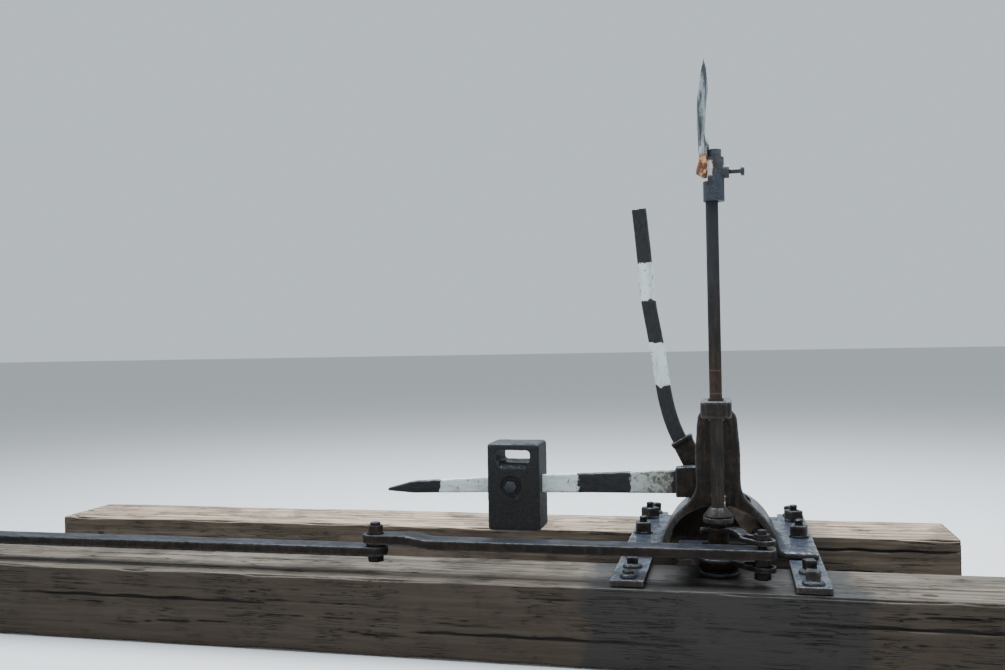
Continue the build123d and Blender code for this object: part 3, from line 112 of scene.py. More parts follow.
# Shader arithmetic
class Field:
    """A value that changes over a surface: one output socket, on which arithmetic adds Math nodes."""

    def __init__(self, paint, socket):
        self.paint = paint
        self.socket = socket

    def math(self, operation, other, swap=False):
        """One Math node on this value and another, the other way round when swap is set."""
        first, second = (other, self) if swap else (self, other)
        sockets = {"Value": first, "Value_001": second}
        return self.paint.node("ShaderNodeMath", {"operation": operation}, sockets)["Value"]

    def __add__(self, other):
        return self.math("ADD", other)

    __radd__ = __add__

    def __sub__(self, other):
        return self.math("SUBTRACT", other)

    def __rsub__(self, other):
        return self.math("SUBTRACT", other, swap=True)

    def __mul__(self, other):
        return self.math("MULTIPLY", other)

    __rmul__ = __mul__

    def __truediv__(self, other):
        return self.math("DIVIDE", other)

    def rise(self, low, high):
        """0 below low, 1 above high and a smooth step between; it falls where low is the larger."""
        sockets = {"Value": self, "From Min": low, "From Max": high}
        return self.paint.node("ShaderNodeMapRange", {"interpolation_type": "SMOOTHSTEP"}, sockets)["Result"]

    def between(self, low, high, soft):
        """1 from low to high and 0 outside, with edges soft wide."""
        return self.rise(low - soft / 2, low + soft / 2) * self.rise(high + soft / 2, high - soft / 2)


class Paint:
    """The node tree of one material."""

    def __init__(self, name):
        self.material = bpy.data.materials.new(name)
        self.material.use_nodes = True
        self.tree = self.material.node_tree
        self.tree.nodes.clear()
        self.place = self.node("ShaderNodeTexCoord")["Object"]

    def node(self, kind, settings=None, sockets=None):
        """Add a node: its settings first, then values or links into its sockets. Gives its outputs."""
        made = self.tree.nodes.new(kind)
        for name, value in (settings or {}).items():
            setattr(made, name, value)
        for name, value in (sockets or {}).items():
            target = next(s for s in made.inputs if s.enabled and name in (s.identifier, s.name))
            if isinstance(value, Field):
                self.tree.links.new(value.socket, target)
            else:
                target.default_value = value
        return {s.name: Field(self, s) for s in made.outputs if s.enabled}

    def stretched(self, across, along, up):
        """Object coordinates scaled along each axis; a pattern on them is drawn out along a small one."""
        sockets = {"Vector": self.place, "Scale": (across, along, up)}
        return self.node("ShaderNodeMapping", {}, sockets)["Vector"]

    def axes(self, point=None):
        """The three coordinates of a point, one Field each."""
        parts = self.node("ShaderNodeSeparateXYZ", {}, {"Vector": point or self.place})
        return parts["X"], parts["Y"], parts["Z"]

    def noise(self, scale, detail=4.0, roughness=0.55, distortion=0.0, point=None):
        """Fractal noise from 0 to 1, scale in features a metre."""
        sockets = {"Vector": point or self.place, "Scale": scale, "Detail": detail,
                   "Roughness": roughness, "Distortion": distortion}
        return self.node("ShaderNodeTexNoise", {}, sockets)["Fac"]

    def cells(self, scale):
        """Distance to the nearest of scattered points, scale in points a metre."""
        return self.node("ShaderNodeTexVoronoi", {}, {"Vector": self.place, "Scale": scale})["Distance"]

    def stored(self, name):
        """A value kept on the mesh's points, 0 where the mesh has none of that name."""
        return self.node("ShaderNodeAttribute", {"attribute_name": name})["Fac"]

    def blend(self, first, second, share):
        """Colour that goes from the first to the second as share goes from 0 to 1."""
        sockets = {"Factor": share, "A": first, "B": second}
        return self.node("ShaderNodeMix", {"data_type": "RGBA"}, sockets)["Result"]

    def facing_up(self):
        """1 on faces that look up, 0 on upright ones and -1 on those that look down."""
        return self.axes(self.node("ShaderNodeNewGeometry")["Normal"])[2]

    def bump(self, height, distance):
        """Normal bent by a height field, distance in metres for a height of 1."""
        return self.node("ShaderNodeBump", {}, {"Height": height, "Distance": distance})["Normal"]

    def surface(self, colour, roughness, normal=None, coat=0.0, coat_roughness=0.1, specular=0.5):
        """Close the tree with one Principled shader and give the material."""
        sockets = {"Base Color": colour, "Roughness": roughness, "Coat Weight": coat,
                   "Coat Roughness": coat_roughness, "Specular IOR Level": specular}
        if normal is not None:
            sockets["Normal"] = normal
        shader = self.node("ShaderNodeBsdfPrincipled", {}, sockets)["BSDF"]
        self.node("ShaderNodeOutputMaterial", {}, {"Surface": shader})
        return self.material


# Colours of the black paint, of what lies on it or shows through it, and of the reflections, highlights and
# glints painted on it
BLACK_PAINT = (0.0120, 0.0092, 0.0076, 1.0)
WEIGHT_BLACK = (0.030, 0.031, 0.033, 1.0)
BOLT_GREY = (0.040, 0.045, 0.052, 1.0)
BLUE_BLACK = (0.052, 0.062, 0.080, 1.0)
BAND_BLACK = (0.022, 0.024, 0.028, 1.0)
SHAFT_HEAD_BLACK = (0.020, 0.023, 0.029, 1.0)
# Painted reflection of brown ground, in patches on upright faces
BROWN_GROUND_REFLECTION = (0.0300, 0.0200, 0.0135, 1.0)
BROWN_RUN = (0.036, 0.026, 0.019, 1.0)
# Painted blue sheen of the sky, on faces that look up
BLUE_SKY_SHEEN = (0.036, 0.050, 0.078, 1.0)
# Worn paint on the plates' tops, with a painted sheen of the sky
GREY_WEAR_AND_SHEEN = (0.066, 0.080, 0.098, 1.0)
# Arrises: worn paint, and a painted highlight that is stronger where they face up
WORN_EDGE_HIGHLIGHT = (0.095, 0.100, 0.106, 1.0)
# Painted glints, mostly on faces that look up
PAINTED_GLINT = (0.17, 0.18, 0.19, 1.0)
CHIPPED_IRON = (0.105, 0.082, 0.060, 1.0)
# Dust inside the hood, made lighter as painted light in its shade
DARK_DUST_AND_FILL = (0.110, 0.092, 0.080, 1.0)
PALE_DUST_AND_FILL = (0.220, 0.180, 0.150, 1.0)
RUST = (0.17, 0.062, 0.024, 1.0)
DARK_RUST = (0.070, 0.030, 0.015, 1.0)
RING_RUST = (0.13, 0.055, 0.030, 1.0)
PRIMER = (0.52, 0.47, 0.44, 1.0)

# Colours of the white bands
OFF_WHITE = (0.62, 0.70, 0.70, 1.0)
BRUSHED_WHITE = (0.46, 0.50, 0.48, 1.0)
DIRTY_WHITE = (0.24, 0.245, 0.21, 1.0)
SCRAPED_GREY = (0.36, 0.37, 0.36, 1.0)
DIRT = (0.080, 0.070, 0.055, 1.0)

# Share of a paint's own tone that is left in its dark spots
DARK_SPOT = 0.48

# Arch of the hood: half width, height above the plates, and its reach along the track
ARCH_HALF_WIDTH = 0.133
ARCH_HEIGHT = 0.136
ARCH_FRONT, ARCH_BACK = -0.176, 0.024

# Heights on the shaft: the stain at the upper bearing, two rings of rust, and the blacker upper part
BEARING_STAIN = (0.405, 0.470)
RUST_RINGS = (0.4115, 0.4640)
SHAFT_HEAD = (0.45, 0.85)

# Chipped patch on the flag socket, across and up
PATCH_ACROSS = (-0.011, 0.003)
PATCH_UP = (0.907, 0.942)

# White bands and the dirty stretch of the handle by height, and of the balance bar by place across
HANDLE_BANDS = ((0.417, 0.528), (0.638, 0.737))
HANDLE_DIRT = (0.2, 0.3)
BALANCE_BANDS = ((-0.709, -0.347), (-0.215, -0.112))
BALANCE_DIRT = (-0.230, -0.060)


# Painted finishes
class BlackPaint(Paint):
    """Thick black paint over iron: brown patches where it is upright, a painted reflection of brown ground; a
    wet coat and a painted blue sheen of the sky where it faces up.

    base is its own tone; pitting, sky_sheen, rust and brown are the strengths of each, 0 for none; streaks
    scales the pattern along each axis.
    """

    def __init__(self, name, base=BLACK_PAINT, pitting=1.0, sky_sheen=1.0, rust=0.3, brown=1.0,
                 streaks=(1.0, 1.0, 1.0)):
        super().__init__(name)
        self.drawn = self.stretched(*streaks)
        self.patch = self.noise(34.0, 6.0, 0.66, point=self.drawn)
        self.fine = self.noise(210.0, 5.0, 0.70, point=self.drawn)
        self.arris_mask = self.stored("arris_share")
        self.upward = self.facing_up().rise(0.25, 0.90)
        upright = 1 - self.upward
        broad = self.noise(6.0, 4.0, 0.6)
        grit = self.noise(700.0, 2.0, 0.6)
        pits = self.cells(170.0).rise(0.36, 0.10) * self.patch.rise(0.46, 0.60) * pitting
        # Mottled tone; on upright faces brown patches, a painted reflection of brown ground, and brown runs
        dark_spot = tuple(value * DARK_SPOT for value in base[:3]) + (1.0,)
        colour = self.blend(dark_spot, base, self.fine.rise(0.34, 0.62))
        colour = self.blend(colour, BROWN_GROUND_REFLECTION, upright * self.patch.rise(0.44, 0.66) * brown * 0.8)
        runs = self.noise(105.0, 4.0, 0.65, point=self.stretched(1.0, 1.0, 0.14)).rise(0.52, 0.66)
        colour = self.blend(colour, BROWN_RUN, runs * upright * 0.7 * brown)
        # Painted blue sky sheen on upper faces, arrises lighter as worn paint and painted highlight, painted
        # glints as pale specks, rust in spots and pits
        sky_sheen_share = self.upward * (self.fine.rise(0.44, 0.60) * 0.55 + self.patch.rise(0.42, 0.58) * 0.45)
        colour = self.blend(colour, BLUE_SKY_SHEEN, sky_sheen_share * sky_sheen)
        edge = self.arris_mask * self.fine.rise(0.30, 0.60)
        colour = self.blend(colour, WORN_EDGE_HIGHLIGHT, edge * (self.upward * 0.5 + 0.5))
        glints = self.noise(330.0, 3.0, 0.6).rise(0.69, 0.74)
        colour = self.blend(colour, PAINTED_GLINT, glints * (self.upward * 0.45 + 0.12))
        spots = self.noise(80.0, 5.0, 0.72).rise(0.57, 0.70) * broad.rise(0.42, 0.58)
        self.colour = self.blend(colour, DARK_RUST, (pits * 0.6 + spots * rust) * (1 - self.upward * 0.7))
        self.roughness = (broad * 0.14 + self.fine * 0.34 + pits * 0.2 + 0.24) - self.upward * 0.06
        self.height = self.patch * 0.55 + self.fine * 0.45 + grit * 0.12 - pits * 0.7
        self.wet = self.upward * (self.patch * 0.4 + self.fine * 0.6).rise(0.46, 0.56) * 0.9 + edge * 0.2

    def finished(self, depth, specular=0.18):
        """The painted surface, with its bump that deep."""
        return self.surface(self.colour, self.roughness, self.bump(self.height, depth),
                            coat=self.wet, coat_roughness=0.14, specular=specular)


def make_black_casting():
    """Black paint on rough cast iron; inside the hood, under the half ellipse of its arch, a brown that is
    partly dust, partly painted light lifting its shade.
    """
    paint = BlackPaint("black_casting", rust=0.35)
    across, along, up = paint.axes()
    wide, high = (across - STAND_X) / ARCH_HALF_WIDTH, (up - TIMBER_TOP - PLATE_TOP) / ARCH_HEIGHT
    inside = (wide * wide + high * high).rise(1.02, 0.96) * along.between(ARCH_FRONT, ARCH_BACK, 0.006)
    # Dust, lightened as painted light in the hood's shade
    dust_and_fill = paint.blend(DARK_DUST_AND_FILL, PALE_DUST_AND_FILL, paint.patch.rise(0.35, 0.65))
    paint.colour = paint.blend(paint.colour, dust_and_fill, inside)
    return paint.finished(0.0026)


def make_bar_steel():
    """The same paint on the drawn-down bars, with fine marks along them."""
    paint = BlackPaint("black_steel", pitting=0.6, sky_sheen=0.45, rust=0.2, brown=0.5, streaks=(0.35, 1.0, 1.0))
    paint.wet = paint.wet * 0.25
    return paint.finished(0.0020, specular=0.08)


def make_weight_casting():
    """Black paint on the counterweight, chipped in small patches."""
    paint = BlackPaint("weight_casting", WEIGHT_BLACK, pitting=0.4, sky_sheen=0.5, rust=0.10, brown=0.15)
    chips = paint.noise(60.0, 6.0, 0.72).rise(0.60, 0.64) * paint.noise(9.0, 2.0).rise(0.48, 0.58)
    paint.colour = paint.blend(paint.colour, CHIPPED_IRON, chips * 0.6)
    paint.wet = paint.wet * 0.5
    paint.roughness = paint.roughness + 0.08
    paint.height = paint.height - chips * 0.5
    return paint.finished(0.0028, specular=0.08)


def make_set_bolt_steel():
    """Greyer paint on the head of the counterweight's set bolt."""
    paint = BlackPaint("set_bolt_steel", BOLT_GREY, pitting=0.3, sky_sheen=0.5, rust=0.05, brown=0.1)
    return paint.finished(0.0012)


def make_plate_steel():
    """Black paint on the cross plates, patched grey on top: worn paint, with a painted sheen of the sky."""
    paint = BlackPaint("plate_steel", pitting=1.3, rust=0.5)
    # Grey patches on the upper face: worn paint and painted sky sheen
    worn_and_sheen = paint.upward * paint.noise(20.0, 7.0, 0.75).rise(0.49, 0.60)
    paint.colour = paint.blend(paint.colour, GREY_WEAR_AND_SHEEN, worn_and_sheen * 0.7)
    return paint.finished(0.0026)


def make_shaft_steel():
    """Black paint on the shaft, browner below and with thin rings of rust at the upper bearing."""
    paint = BlackPaint("shaft_steel", pitting=0.5, sky_sheen=0.15, rust=0.5, brown=0.8, streaks=(1.0, 1.0, 0.22))
    up = paint.axes()[2] - TIMBER_TOP
    bloom = up.between(*BEARING_STAIN, 0.05) * paint.fine.rise(0.42, 0.62)
    paint.colour = paint.blend(paint.colour, DARK_RUST, bloom * 0.25)
    paint.colour = paint.blend(paint.colour, SHAFT_HEAD_BLACK, up.rise(*SHAFT_HEAD) * 0.8)
    paint.wet = paint.wet * 0.25
    for height in RUST_RINGS:
        ring = (up + (paint.patch - 0.5) * 0.003).between(height - 0.0012, height + 0.0012, 0.0012)
        paint.colour = paint.blend(paint.colour, RING_RUST, ring * 0.5)
    return paint.finished(0.0012)


def make_socket_steel():
    """Blue-black paint on the flag socket, with a chipped pale patch beside the board."""
    paint = BlackPaint("socket_steel", BLUE_BLACK, pitting=0.6, sky_sheen=0.8, rust=0.2)
    across, along, up = paint.axes()
    ragged = (paint.noise(120.0, 4.0, 0.7) - 0.5) * 0.018
    patch = (across - STAND_X + ragged).between(*PATCH_ACROSS, 0.003)
    patch = patch * (up - TIMBER_TOP + ragged).between(*PATCH_UP, 0.003)
    patch = patch * along.rise(SHAFT_Y, SHAFT_Y - 0.004)
    paint.colour = paint.blend(paint.colour, PRIMER, patch)
    return paint.finished(0.0012)


class BandedPaint(BlackPaint):
    """Off-white bands brushed over black paint, with ragged ends, chips and dirt.

    Bands and the dirty stretch are given by their ends, counted from start along one axis.
    """

    def __init__(self, name, axis, start, bands, dirty, streaks):
        super().__init__(name, BAND_BLACK, pitting=0.5, sky_sheen=0.6, rust=0.15, brown=0.25, streaks=streaks)
        brush = self.noise(60.0, 4.0, 0.6, point=self.drawn)
        scrapes = self.noise(95.0, 4.0, 0.7, 0.6, self.drawn).rise(0.70, 0.75)
        black = self.blend(self.colour, SCRAPED_GREY, scrapes * 0.7)
        here = self.axes()[axis] - start + (self.noise(48.0, 4.0, 0.65) - 0.5) * 0.036
        white = sum(here.between(low, high, 0.004) for low, high in bands)
        chips = self.noise(110.0, 6.0, 0.75).rise(0.60, 0.66)
        edge_chips = self.arris_mask * self.noise(45.0, 5.0, 0.7).rise(0.42, 0.60)
        white = white * (1 - chips) * (1 - edge_chips * 0.9)
        tone = self.blend(OFF_WHITE, BRUSHED_WHITE, brush.rise(0.42, 0.68))
        # Dirt grows towards the far end of its stretch
        grime = here.between(*dirty, 0.03)
        nearer = here.rise(*dirty)
        speckle = (self.noise(75.0, 7.0, 0.8) + nearer * 0.13).rise(0.52, 0.62)
        tone = self.blend(tone, DIRTY_WHITE, grime * (nearer * 0.55 + 0.45))
        tone = self.blend(tone, DIRT, grime * speckle * 0.85)
        tone = self.blend(tone, RUST, self.noise(85.0, 5.0, 0.7).rise(0.645, 0.70) * 0.55)
        self.colour = self.blend(black, tone, white)
        self.roughness = self.roughness + white * 0.12
        self.height = self.height + white * 0.25 + brush * white * 0.25
        self.wet = self.wet * (1 - white * 0.7)


def make_striped_handle():
    """Bands of the throw lever's handle, by height; its dirty stretch lies below them."""
    paint = BandedPaint("striped_handle", 2, TIMBER_TOP, HANDLE_BANDS, HANDLE_DIRT, (1.0, 1.0, 0.3))
    return paint.finished(0.0010)


def make_striped_balance():
    """Bands of the balance bar, by place across the stand; the end at the hub is dirty."""
    paint = BandedPaint("striped_balance", 0, STAND_X, BALANCE_BANDS, BALANCE_DIRT, (0.3, 1.0, 1.0))
    return paint.finished(0.0014)


# Colours of the timbers, among them the painted shade of their sides and cracks; each one's own wood is pale,
# middling and dark
FRONT_TONES = ((0.158, 0.128, 0.102, 1.0), (0.078, 0.062, 0.048, 1.0), (0.026, 0.019, 0.014, 1.0))
BACK_TONES = ((0.42, 0.325, 0.240, 1.0), (0.165, 0.120, 0.083, 1.0), (0.050, 0.035, 0.024, 1.0))
SHADED_TIMBER_SIDE = (0.034, 0.025, 0.018, 1.0)
TAR = (0.019, 0.017, 0.016, 1.0)
KNOT_BROWN = (0.022, 0.015, 0.010, 1.0)
# Painted shade in the timbers' cracks
TIMBER_CRACK_SHADE = (0.010, 0.008, 0.007, 1.0)
MOSS = (0.055, 0.060, 0.030, 1.0)

# Colours of the signal board
BOARD_SHADE = (0.040, 0.048, 0.054, 1.0)
BOARD_GREY = (0.22, 0.25, 0.27, 1.0)
BOARD_FIBRE = (0.050, 0.058, 0.064, 1.0)
BOARD_WHITE = (0.46, 0.47, 0.48, 1.0)
# Painted shade in the board's cracks
BOARD_CRACK_SHADE = (0.020, 0.018, 0.017, 1.0)
DARK_ROT = (0.145, 0.060, 0.036, 1.0)
PALE_ROT = (0.62, 0.36, 0.17, 1.0)

# How far the tar reaches on each side of the stand, and the place of a knot in the front timber, X and Y
TAR_REACH = 0.30
KNOT = (1.110, -0.387)

# Heights on the board: the remains of white paint, and where the rotten foot ends
BOARD_PAINT = (0.955, 1.010)
ROT_END = (0.968, 0.948)


# Wooden finishes
class OldWood(Paint):
    """Weathered sawn wood with its grain along one axis."""

    def __init__(self, name, grain_axis):
        super().__init__(name)
        grain = self.stretched(*(0.045 if axis == grain_axis else 1.0 for axis in range(3)))
        self.fibres = self.noise(330.0, 5.0, 0.65, 0.3, grain)
        self.streaks = self.noise(75.0, 5.0, 0.6, 0.4, grain)
        self.split = self.stored("crack")
        lines = self.noise(150.0, 3.0, 0.5, 0.8, grain)
        self.checks = lines.between(0.485, 0.505, 0.02) * self.noise(10.0, 3.0).rise(0.44, 0.60)


def make_timber_wood(name, tones, tar_share):
    """Weathered timber: streaked along its length, black and wet about the stand, darkened by painted shade
    in its cracks and on its sides.
    """
    wood = OldWood(name, 0)
    across, along, _ = wood.axes()
    up_face = wood.facing_up().rise(0.4, 0.8)
    pale, mid, dark = tones
    colour = wood.blend(mid, pale, wood.streaks.rise(0.38, 0.66))
    colour = wood.blend(colour, dark, wood.fibres.rise(0.56, 0.74) * 0.75)
    colour = wood.blend(colour, dark, wood.noise(5.0, 4.0, 0.6).rise(0.50, 0.72) * 0.5)
    # Faces that do not look up, darkened by painted shade
    colour = wood.blend(colour, SHADED_TIMBER_SIDE, (1 - up_face) * 0.84)
    reach = (across - STAND_X) / TAR_REACH
    tarred = (reach * reach).rise(1.7, 0.15) * 1.1 + (wood.noise(9.0, 5.0, 0.65) - 0.5) * 1.1
    tarred = tarred.rise(0.32, 0.66) * tar_share
    colour = wood.blend(colour, TAR, tarred * 0.90)
    # Knot, by the square of the distance from its middle
    knot_across, knot_along = (across - KNOT[0]) * 0.7, along - KNOT[1]
    from_knot = knot_across * knot_across + knot_along * knot_along
    knot = (from_knot + (wood.fibres - 0.5) * 0.00006).rise(0.00022, 0.00010)
    colour = wood.blend(colour, KNOT_BROWN, knot * up_face * 0.85)
    # Cracks and checks darkened by painted shade, and moss
    colour = wood.blend(colour, TIMBER_CRACK_SHADE, (wood.split + wood.checks * 0.7).rise(0.10, 0.70))
    moss = wood.noise(55.0, 5.0, 0.7).rise(0.64, 0.72) * up_face
    colour = wood.blend(colour, MOSS, moss * 0.45)
    roughness = 0.78 - tarred * 0.30 + wood.fibres * 0.08
    height = wood.fibres * 0.5 + wood.streaks * 0.6 - wood.checks * 0.9
    return wood.surface(colour, roughness, wood.bump(height, 0.0030), coat=tarred * up_face * 0.08,
                        coat_roughness=0.25, specular=0.22)


def make_board_wood():
    """Silver-grey split wood with remains of white paint, brown and rotten at its foot."""
    wood = OldWood("board_wood", 2)
    up = wood.axes()[2] - TIMBER_TOP
    ragged = up + (wood.noise(60.0, 4.0, 0.7) - 0.5) * 0.035
    colour = wood.blend(BOARD_SHADE, BOARD_GREY, wood.streaks.rise(0.44, 0.56))
    colour = wood.blend(colour, BOARD_FIBRE, wood.fibres.rise(0.55, 0.72) * 0.8)
    painted = ragged.between(*BOARD_PAINT, 0.02) * wood.streaks.rise(0.50, 0.58)
    colour = wood.blend(colour, BOARD_WHITE, painted)
    rotten = wood.blend(DARK_ROT, PALE_ROT, wood.noise(85.0, 4.0, 0.6).rise(0.47, 0.64))
    colour = wood.blend(colour, rotten, ragged.rise(*ROT_END))
    # Cracks and checks darkened by painted shade
    colour = wood.blend(colour, BOARD_CRACK_SHADE, (wood.split + wood.checks * 0.6).rise(0.2, 0.8))
    height = wood.fibres * 0.5 + wood.streaks * 0.8 - wood.checks * 0.8
    return wood.surface(colour, 0.82, wood.bump(height, 0.0022), specular=0.3)


FINISHES = {
    "black_casting": make_black_casting(),
    "black_steel": make_bar_steel(),
    "weight_casting": make_weight_casting(),
    "plate_steel": make_plate_steel(),
    "shaft_steel": make_shaft_steel(),
    "socket_steel": make_socket_steel(),
    "striped_handle": make_striped_handle(),
    "striped_balance": make_striped_balance(),
    "board_wood": make_board_wood(),
}
SET_BOLT_STEEL = make_set_bolt_steel()
FRONT_WOOD = make_timber_wood("timber_front_wood", FRONT_TONES, 1.0)
BACK_WOOD = make_timber_wood("timber_back_wood", BACK_TONES, 0.35)


# Surfaces

# Points nearer than this are one: corners of a node's loose triangles, and poles of new surfaces
SAME_CORNER = 1e-5
SAME_POINT = 2e-5


def lattice_noise(points, scale, seed):
    """Smooth noise from -1 to 1, from a random number at each corner of a cubic lattice.

    The numbers of a cell's eight corners are blended by smooth steps. Each comes from its corner's place,
    mixed by products with large primes and by shifts.
    """
    place = points * scale + 11.7 * seed
    cell = np.floor(place).astype(np.int64)
    share = place - cell
    share = share * share * (3 - 2 * share)
    total = np.zeros(len(place))
    for corner in range(8):
        offset = np.array([corner & 1, corner >> 1 & 1, corner >> 2 & 1])
        spot = cell + offset
        mixed = (spot[:, 0] * 73856093) ^ (spot[:, 1] * 19349663) ^ (spot[:, 2] * 83492791) ^ (seed * 2654435)
        mixed = ((mixed ^ (mixed >> 13)) * 1274126177) & 0xFFFFFFFF
        value = (mixed ^ (mixed >> 16)) & 0xFFFF
        total += np.prod(np.where(offset, share, 1 - share), axis=1) * value / 0x7FFF
    return total - 1


def dent_noise(points, scale, seed):
    """The same noise from 0 to 1."""
    return 0.5 + 0.5 * lattice_noise(points, scale, seed)


def grid_faces(rows, columns, round_columns=False):
    """Quads between neighbours on a grid of points, joined end to end along the columns if they are round."""
    index = np.arange(rows * columns).reshape(rows, columns)
    if round_columns:
        index = np.concatenate([index, index[:, :1]], axis=1)
    return np.stack([index[:-1, :-1], index[:-1, 1:], index[1:, 1:], index[1:, :-1]], axis=-1).reshape(-1, 4)


def mesh_of(name, points, faces):
    """Mesh from arrays of points and faces."""
    mesh = bpy.data.meshes.new(name)
    mesh.from_pydata(points.tolist(), [], faces.tolist())
    return mesh


def close_up(mesh, fill_ends=False):
    """Close a mesh's open ends where asked, join the points that meet, and turn its faces outwards."""
    build = bmesh.new()
    build.from_mesh(mesh)
    if fill_ends:
        bmesh.ops.holes_fill(build, edges=[edge for edge in build.edges if edge.is_boundary], sides=0)
    bmesh.ops.remove_doubles(build, verts=build.verts, dist=SAME_POINT)
    bmesh.ops.recalc_face_normals(build, faces=build.faces)
    build.to_mesh(mesh)
    build.free()


def triples(collection, name):
    """Three numbers of every item in one of a mesh's collections, as one array."""
    values = np.empty(len(collection) * 3, dtype=np.float32)
    collection.foreach_get(name, values)
    return values.reshape(-1, 3).astype(float)


def store(mesh, name, values):
    """Keep one value for each point of a mesh."""
    layer = mesh.attributes.new(name, "FLOAT", "POINT")
    layer.data.foreach_set("value", values.astype(np.float32))


def add_piece(name, mesh, body, material, replaced=(), smooth_angle=None):
    """Put a finished mesh into the scene, on its body and in its finish."""
    mesh.materials.clear()
    mesh.materials.append(material)
    mesh.shade_smooth()
    if smooth_angle is not None:
        mesh.set_sharp_from_angle(angle=math.radians(smooth_angle))
    piece = bpy.data.objects.new(name, mesh)
    bpy.context.scene.collection.objects.link(piece)
    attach(piece, body)
    if replaced:
        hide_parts(*replaced)


def merged_copy(node):
    """Copy of a node's mesh with its loose triangles joined at their corners."""
    mesh = nodes[node].data.copy()
    build = bmesh.new()
    build.from_mesh(mesh)
    bmesh.ops.remove_doubles(build, verts=build.verts, dist=SAME_CORNER)
    build.to_mesh(mesh)
    build.free()
    return mesh


def bevelled(width, segments, angle):
    """Modifiers that join triangles to flat faces and bevel arrises sharper than angle by width."""
    return (
        ("DECIMATE", {"decimate_type": "DISSOLVE", "angle_limit": math.radians(1.0)}),
        ("BEVEL", {"width": width, "segments": segments, "limit_method": "ANGLE",
                   "angle_limit": math.radians(angle)}),
        ("TRIANGULATE", {}),
    )


def worked_out(mesh, modifiers):
    """Mesh that a row of modifiers makes of another; each is its kind and its settings."""
    shape = bpy.data.objects.new("shape", mesh)
    bpy.context.scene.collection.objects.link(shape)
    for kind, settings in modifiers:
        modifier = shape.modifiers.new(kind.lower(), kind)
        for name, value in settings.items():
            setattr(modifier, name, value)
    graph = bpy.context.evaluated_depsgraph_get()
    result = bpy.data.meshes.new_from_object(shape.evaluated_get(graph))
    bpy.data.objects.remove(shape)
    return result


def convexity(mesh, spacing):
    """How far points stand out from the mean of their neighbours, along the normal and in spacings."""
    points = triples(mesh.vertices, "co")
    normals = triples(mesh.vertex_normals, "vector")
    ends = np.empty(len(mesh.edges) * 2, dtype=np.int32)
    mesh.edges.foreach_get("vertices", ends)
    ends = ends.reshape(-1, 2)
    total = np.zeros_like(points)
    count = np.zeros(len(points))
    for first, second in ((0, 1), (1, 0)):
        np.add.at(total, ends[:, first], points[ends[:, second]])
        np.add.at(count, ends[:, first], 1)
    lift = np.sum((points - total / np.maximum(count, 1)[:, None]) * normals, axis=1) / spacing
    for _ in range(2):
        spread = np.zeros(len(points))
        for first, second in ((0, 1), (1, 0)):
            np.add.at(spread, ends[:, first], lift[ends[:, second]])
        lift = (lift + spread / np.maximum(count, 1)) / 2
    return lift


# Dents of rough skins: features a metre and depth in mm
FORGED_DENTS = ((14.0, 0.5), (45.0, 0.4), (140.0, 0.25))
BAR_DENTS = ((8.0, 0.6), (40.0, 0.4))
PLATE_DENTS = ((12.0, 0.7), (50.0, 0.6), (150.0, 0.4))

# Convexity from which an arris wears and takes a painted highlight, and how much more of it does both fully
ARRIS_FROM, ARRIS_SPAN = 0.035, 0.09


def skin(node, voxel, rounds, seed, dents=FORGED_DENTS, edge_chips=0.5, bevel=0.0):
    """Rough-cast or forged skin of a node.

    The node's mesh, its arrises first cut back by bevel where one is given, is remeshed on a grid of voxel
    and smoothed so that its arrises turn round. Then each point is pushed in along its normal by a sum of
    lattice noises, its dents, and further in where an arris has chipped, by edge_chips in mm.
    """
    mesh = worked_out(merged_copy(node), (bevelled(bevel, 4, 50) if bevel else ()) + (
        ("REMESH", {"mode": "VOXEL", "voxel_size": voxel}),
        ("SMOOTH", {"factor": 0.5, "iterations": rounds}),
    ))
    arris_share = np.clip((convexity(mesh, voxel) - ARRIS_FROM) / ARRIS_SPAN, 0, 1)
    points = triples(mesh.vertices, "co")
    normals = triples(mesh.vertex_normals, "vector")
    depth = np.zeros(len(points))
    for order, (scale, most) in enumerate(dents):
        depth += most * MM * dent_noise(points, scale, seed + order)
    chips = np.clip(lattice_noise(points, 60.0, seed + 7) - 0.25, 0, 1) * arris_share
    depth += edge_chips * MM * 2.0 * chips
    points -= normals * depth[:, None]
    mesh.vertices.foreach_set("co", points.astype(np.float32).ravel())
    mesh.update()
    store(mesh, "arris_share", arris_share)
    finish = FINISH_OF[node]
    add_piece(node + "_skin", mesh, BODY_OF[node], FINISHES[finish], (node,))


def rounded(node, width):
    """Machined node with its arrises rounded: triangles joined to flat faces, then bevelled by width."""
    mesh = worked_out(merged_copy(node), bevelled(width, 2, 35))
    finish = FINISH_OF[node]
    material = SET_BOLT_STEEL if node == "set_bolt" else FINISHES[finish]
    add_piece(node + "_rounded", mesh, BODY_OF[node], material, (node,), smooth_angle=40)


# Castings, forgings and bars
skin("stand_casting", 0.0037, 5, 3, ((9.0, 0.8), (30.0, 0.9), (95.0, 0.9)))
skin("counterweight", 0.0022, 6, 11, ((16.0, 0.8), (60.0, 0.6), (150.0, 0.5)), edge_chips=1.0, bevel=7 * MM)
skin("foot_bearing", 0.0022, 5, 21)
skin("lever_arm", 0.0024, 6, 31)
skin("balance_arm", 0.0024, 5, 41)
skin("flag_crank", 0.0021, 7, 51, ((20.0, 0.5), (70.0, 0.3)))
skin("drive_yoke", 0.0025, 5, 61)
skin("drive_bar", 0.0030, 3, 71, BAR_DENTS)
skin("point_rod", 0.0034, 3, 81, BAR_DENTS)
skin("handle_bar", 0.0020, 4, 91, ((12.0, 0.4), (60.0, 0.3)))
skin("balance_bar", 0.0024, 4, 101, ((12.0, 0.6), (60.0, 0.4)))
skin("plate_left", 0.0030, 3, 111, PLATE_DENTS, edge_chips=1.2)
skin("plate_right", 0.0030, 3, 121, PLATE_DENTS, edge_chips=1.2)

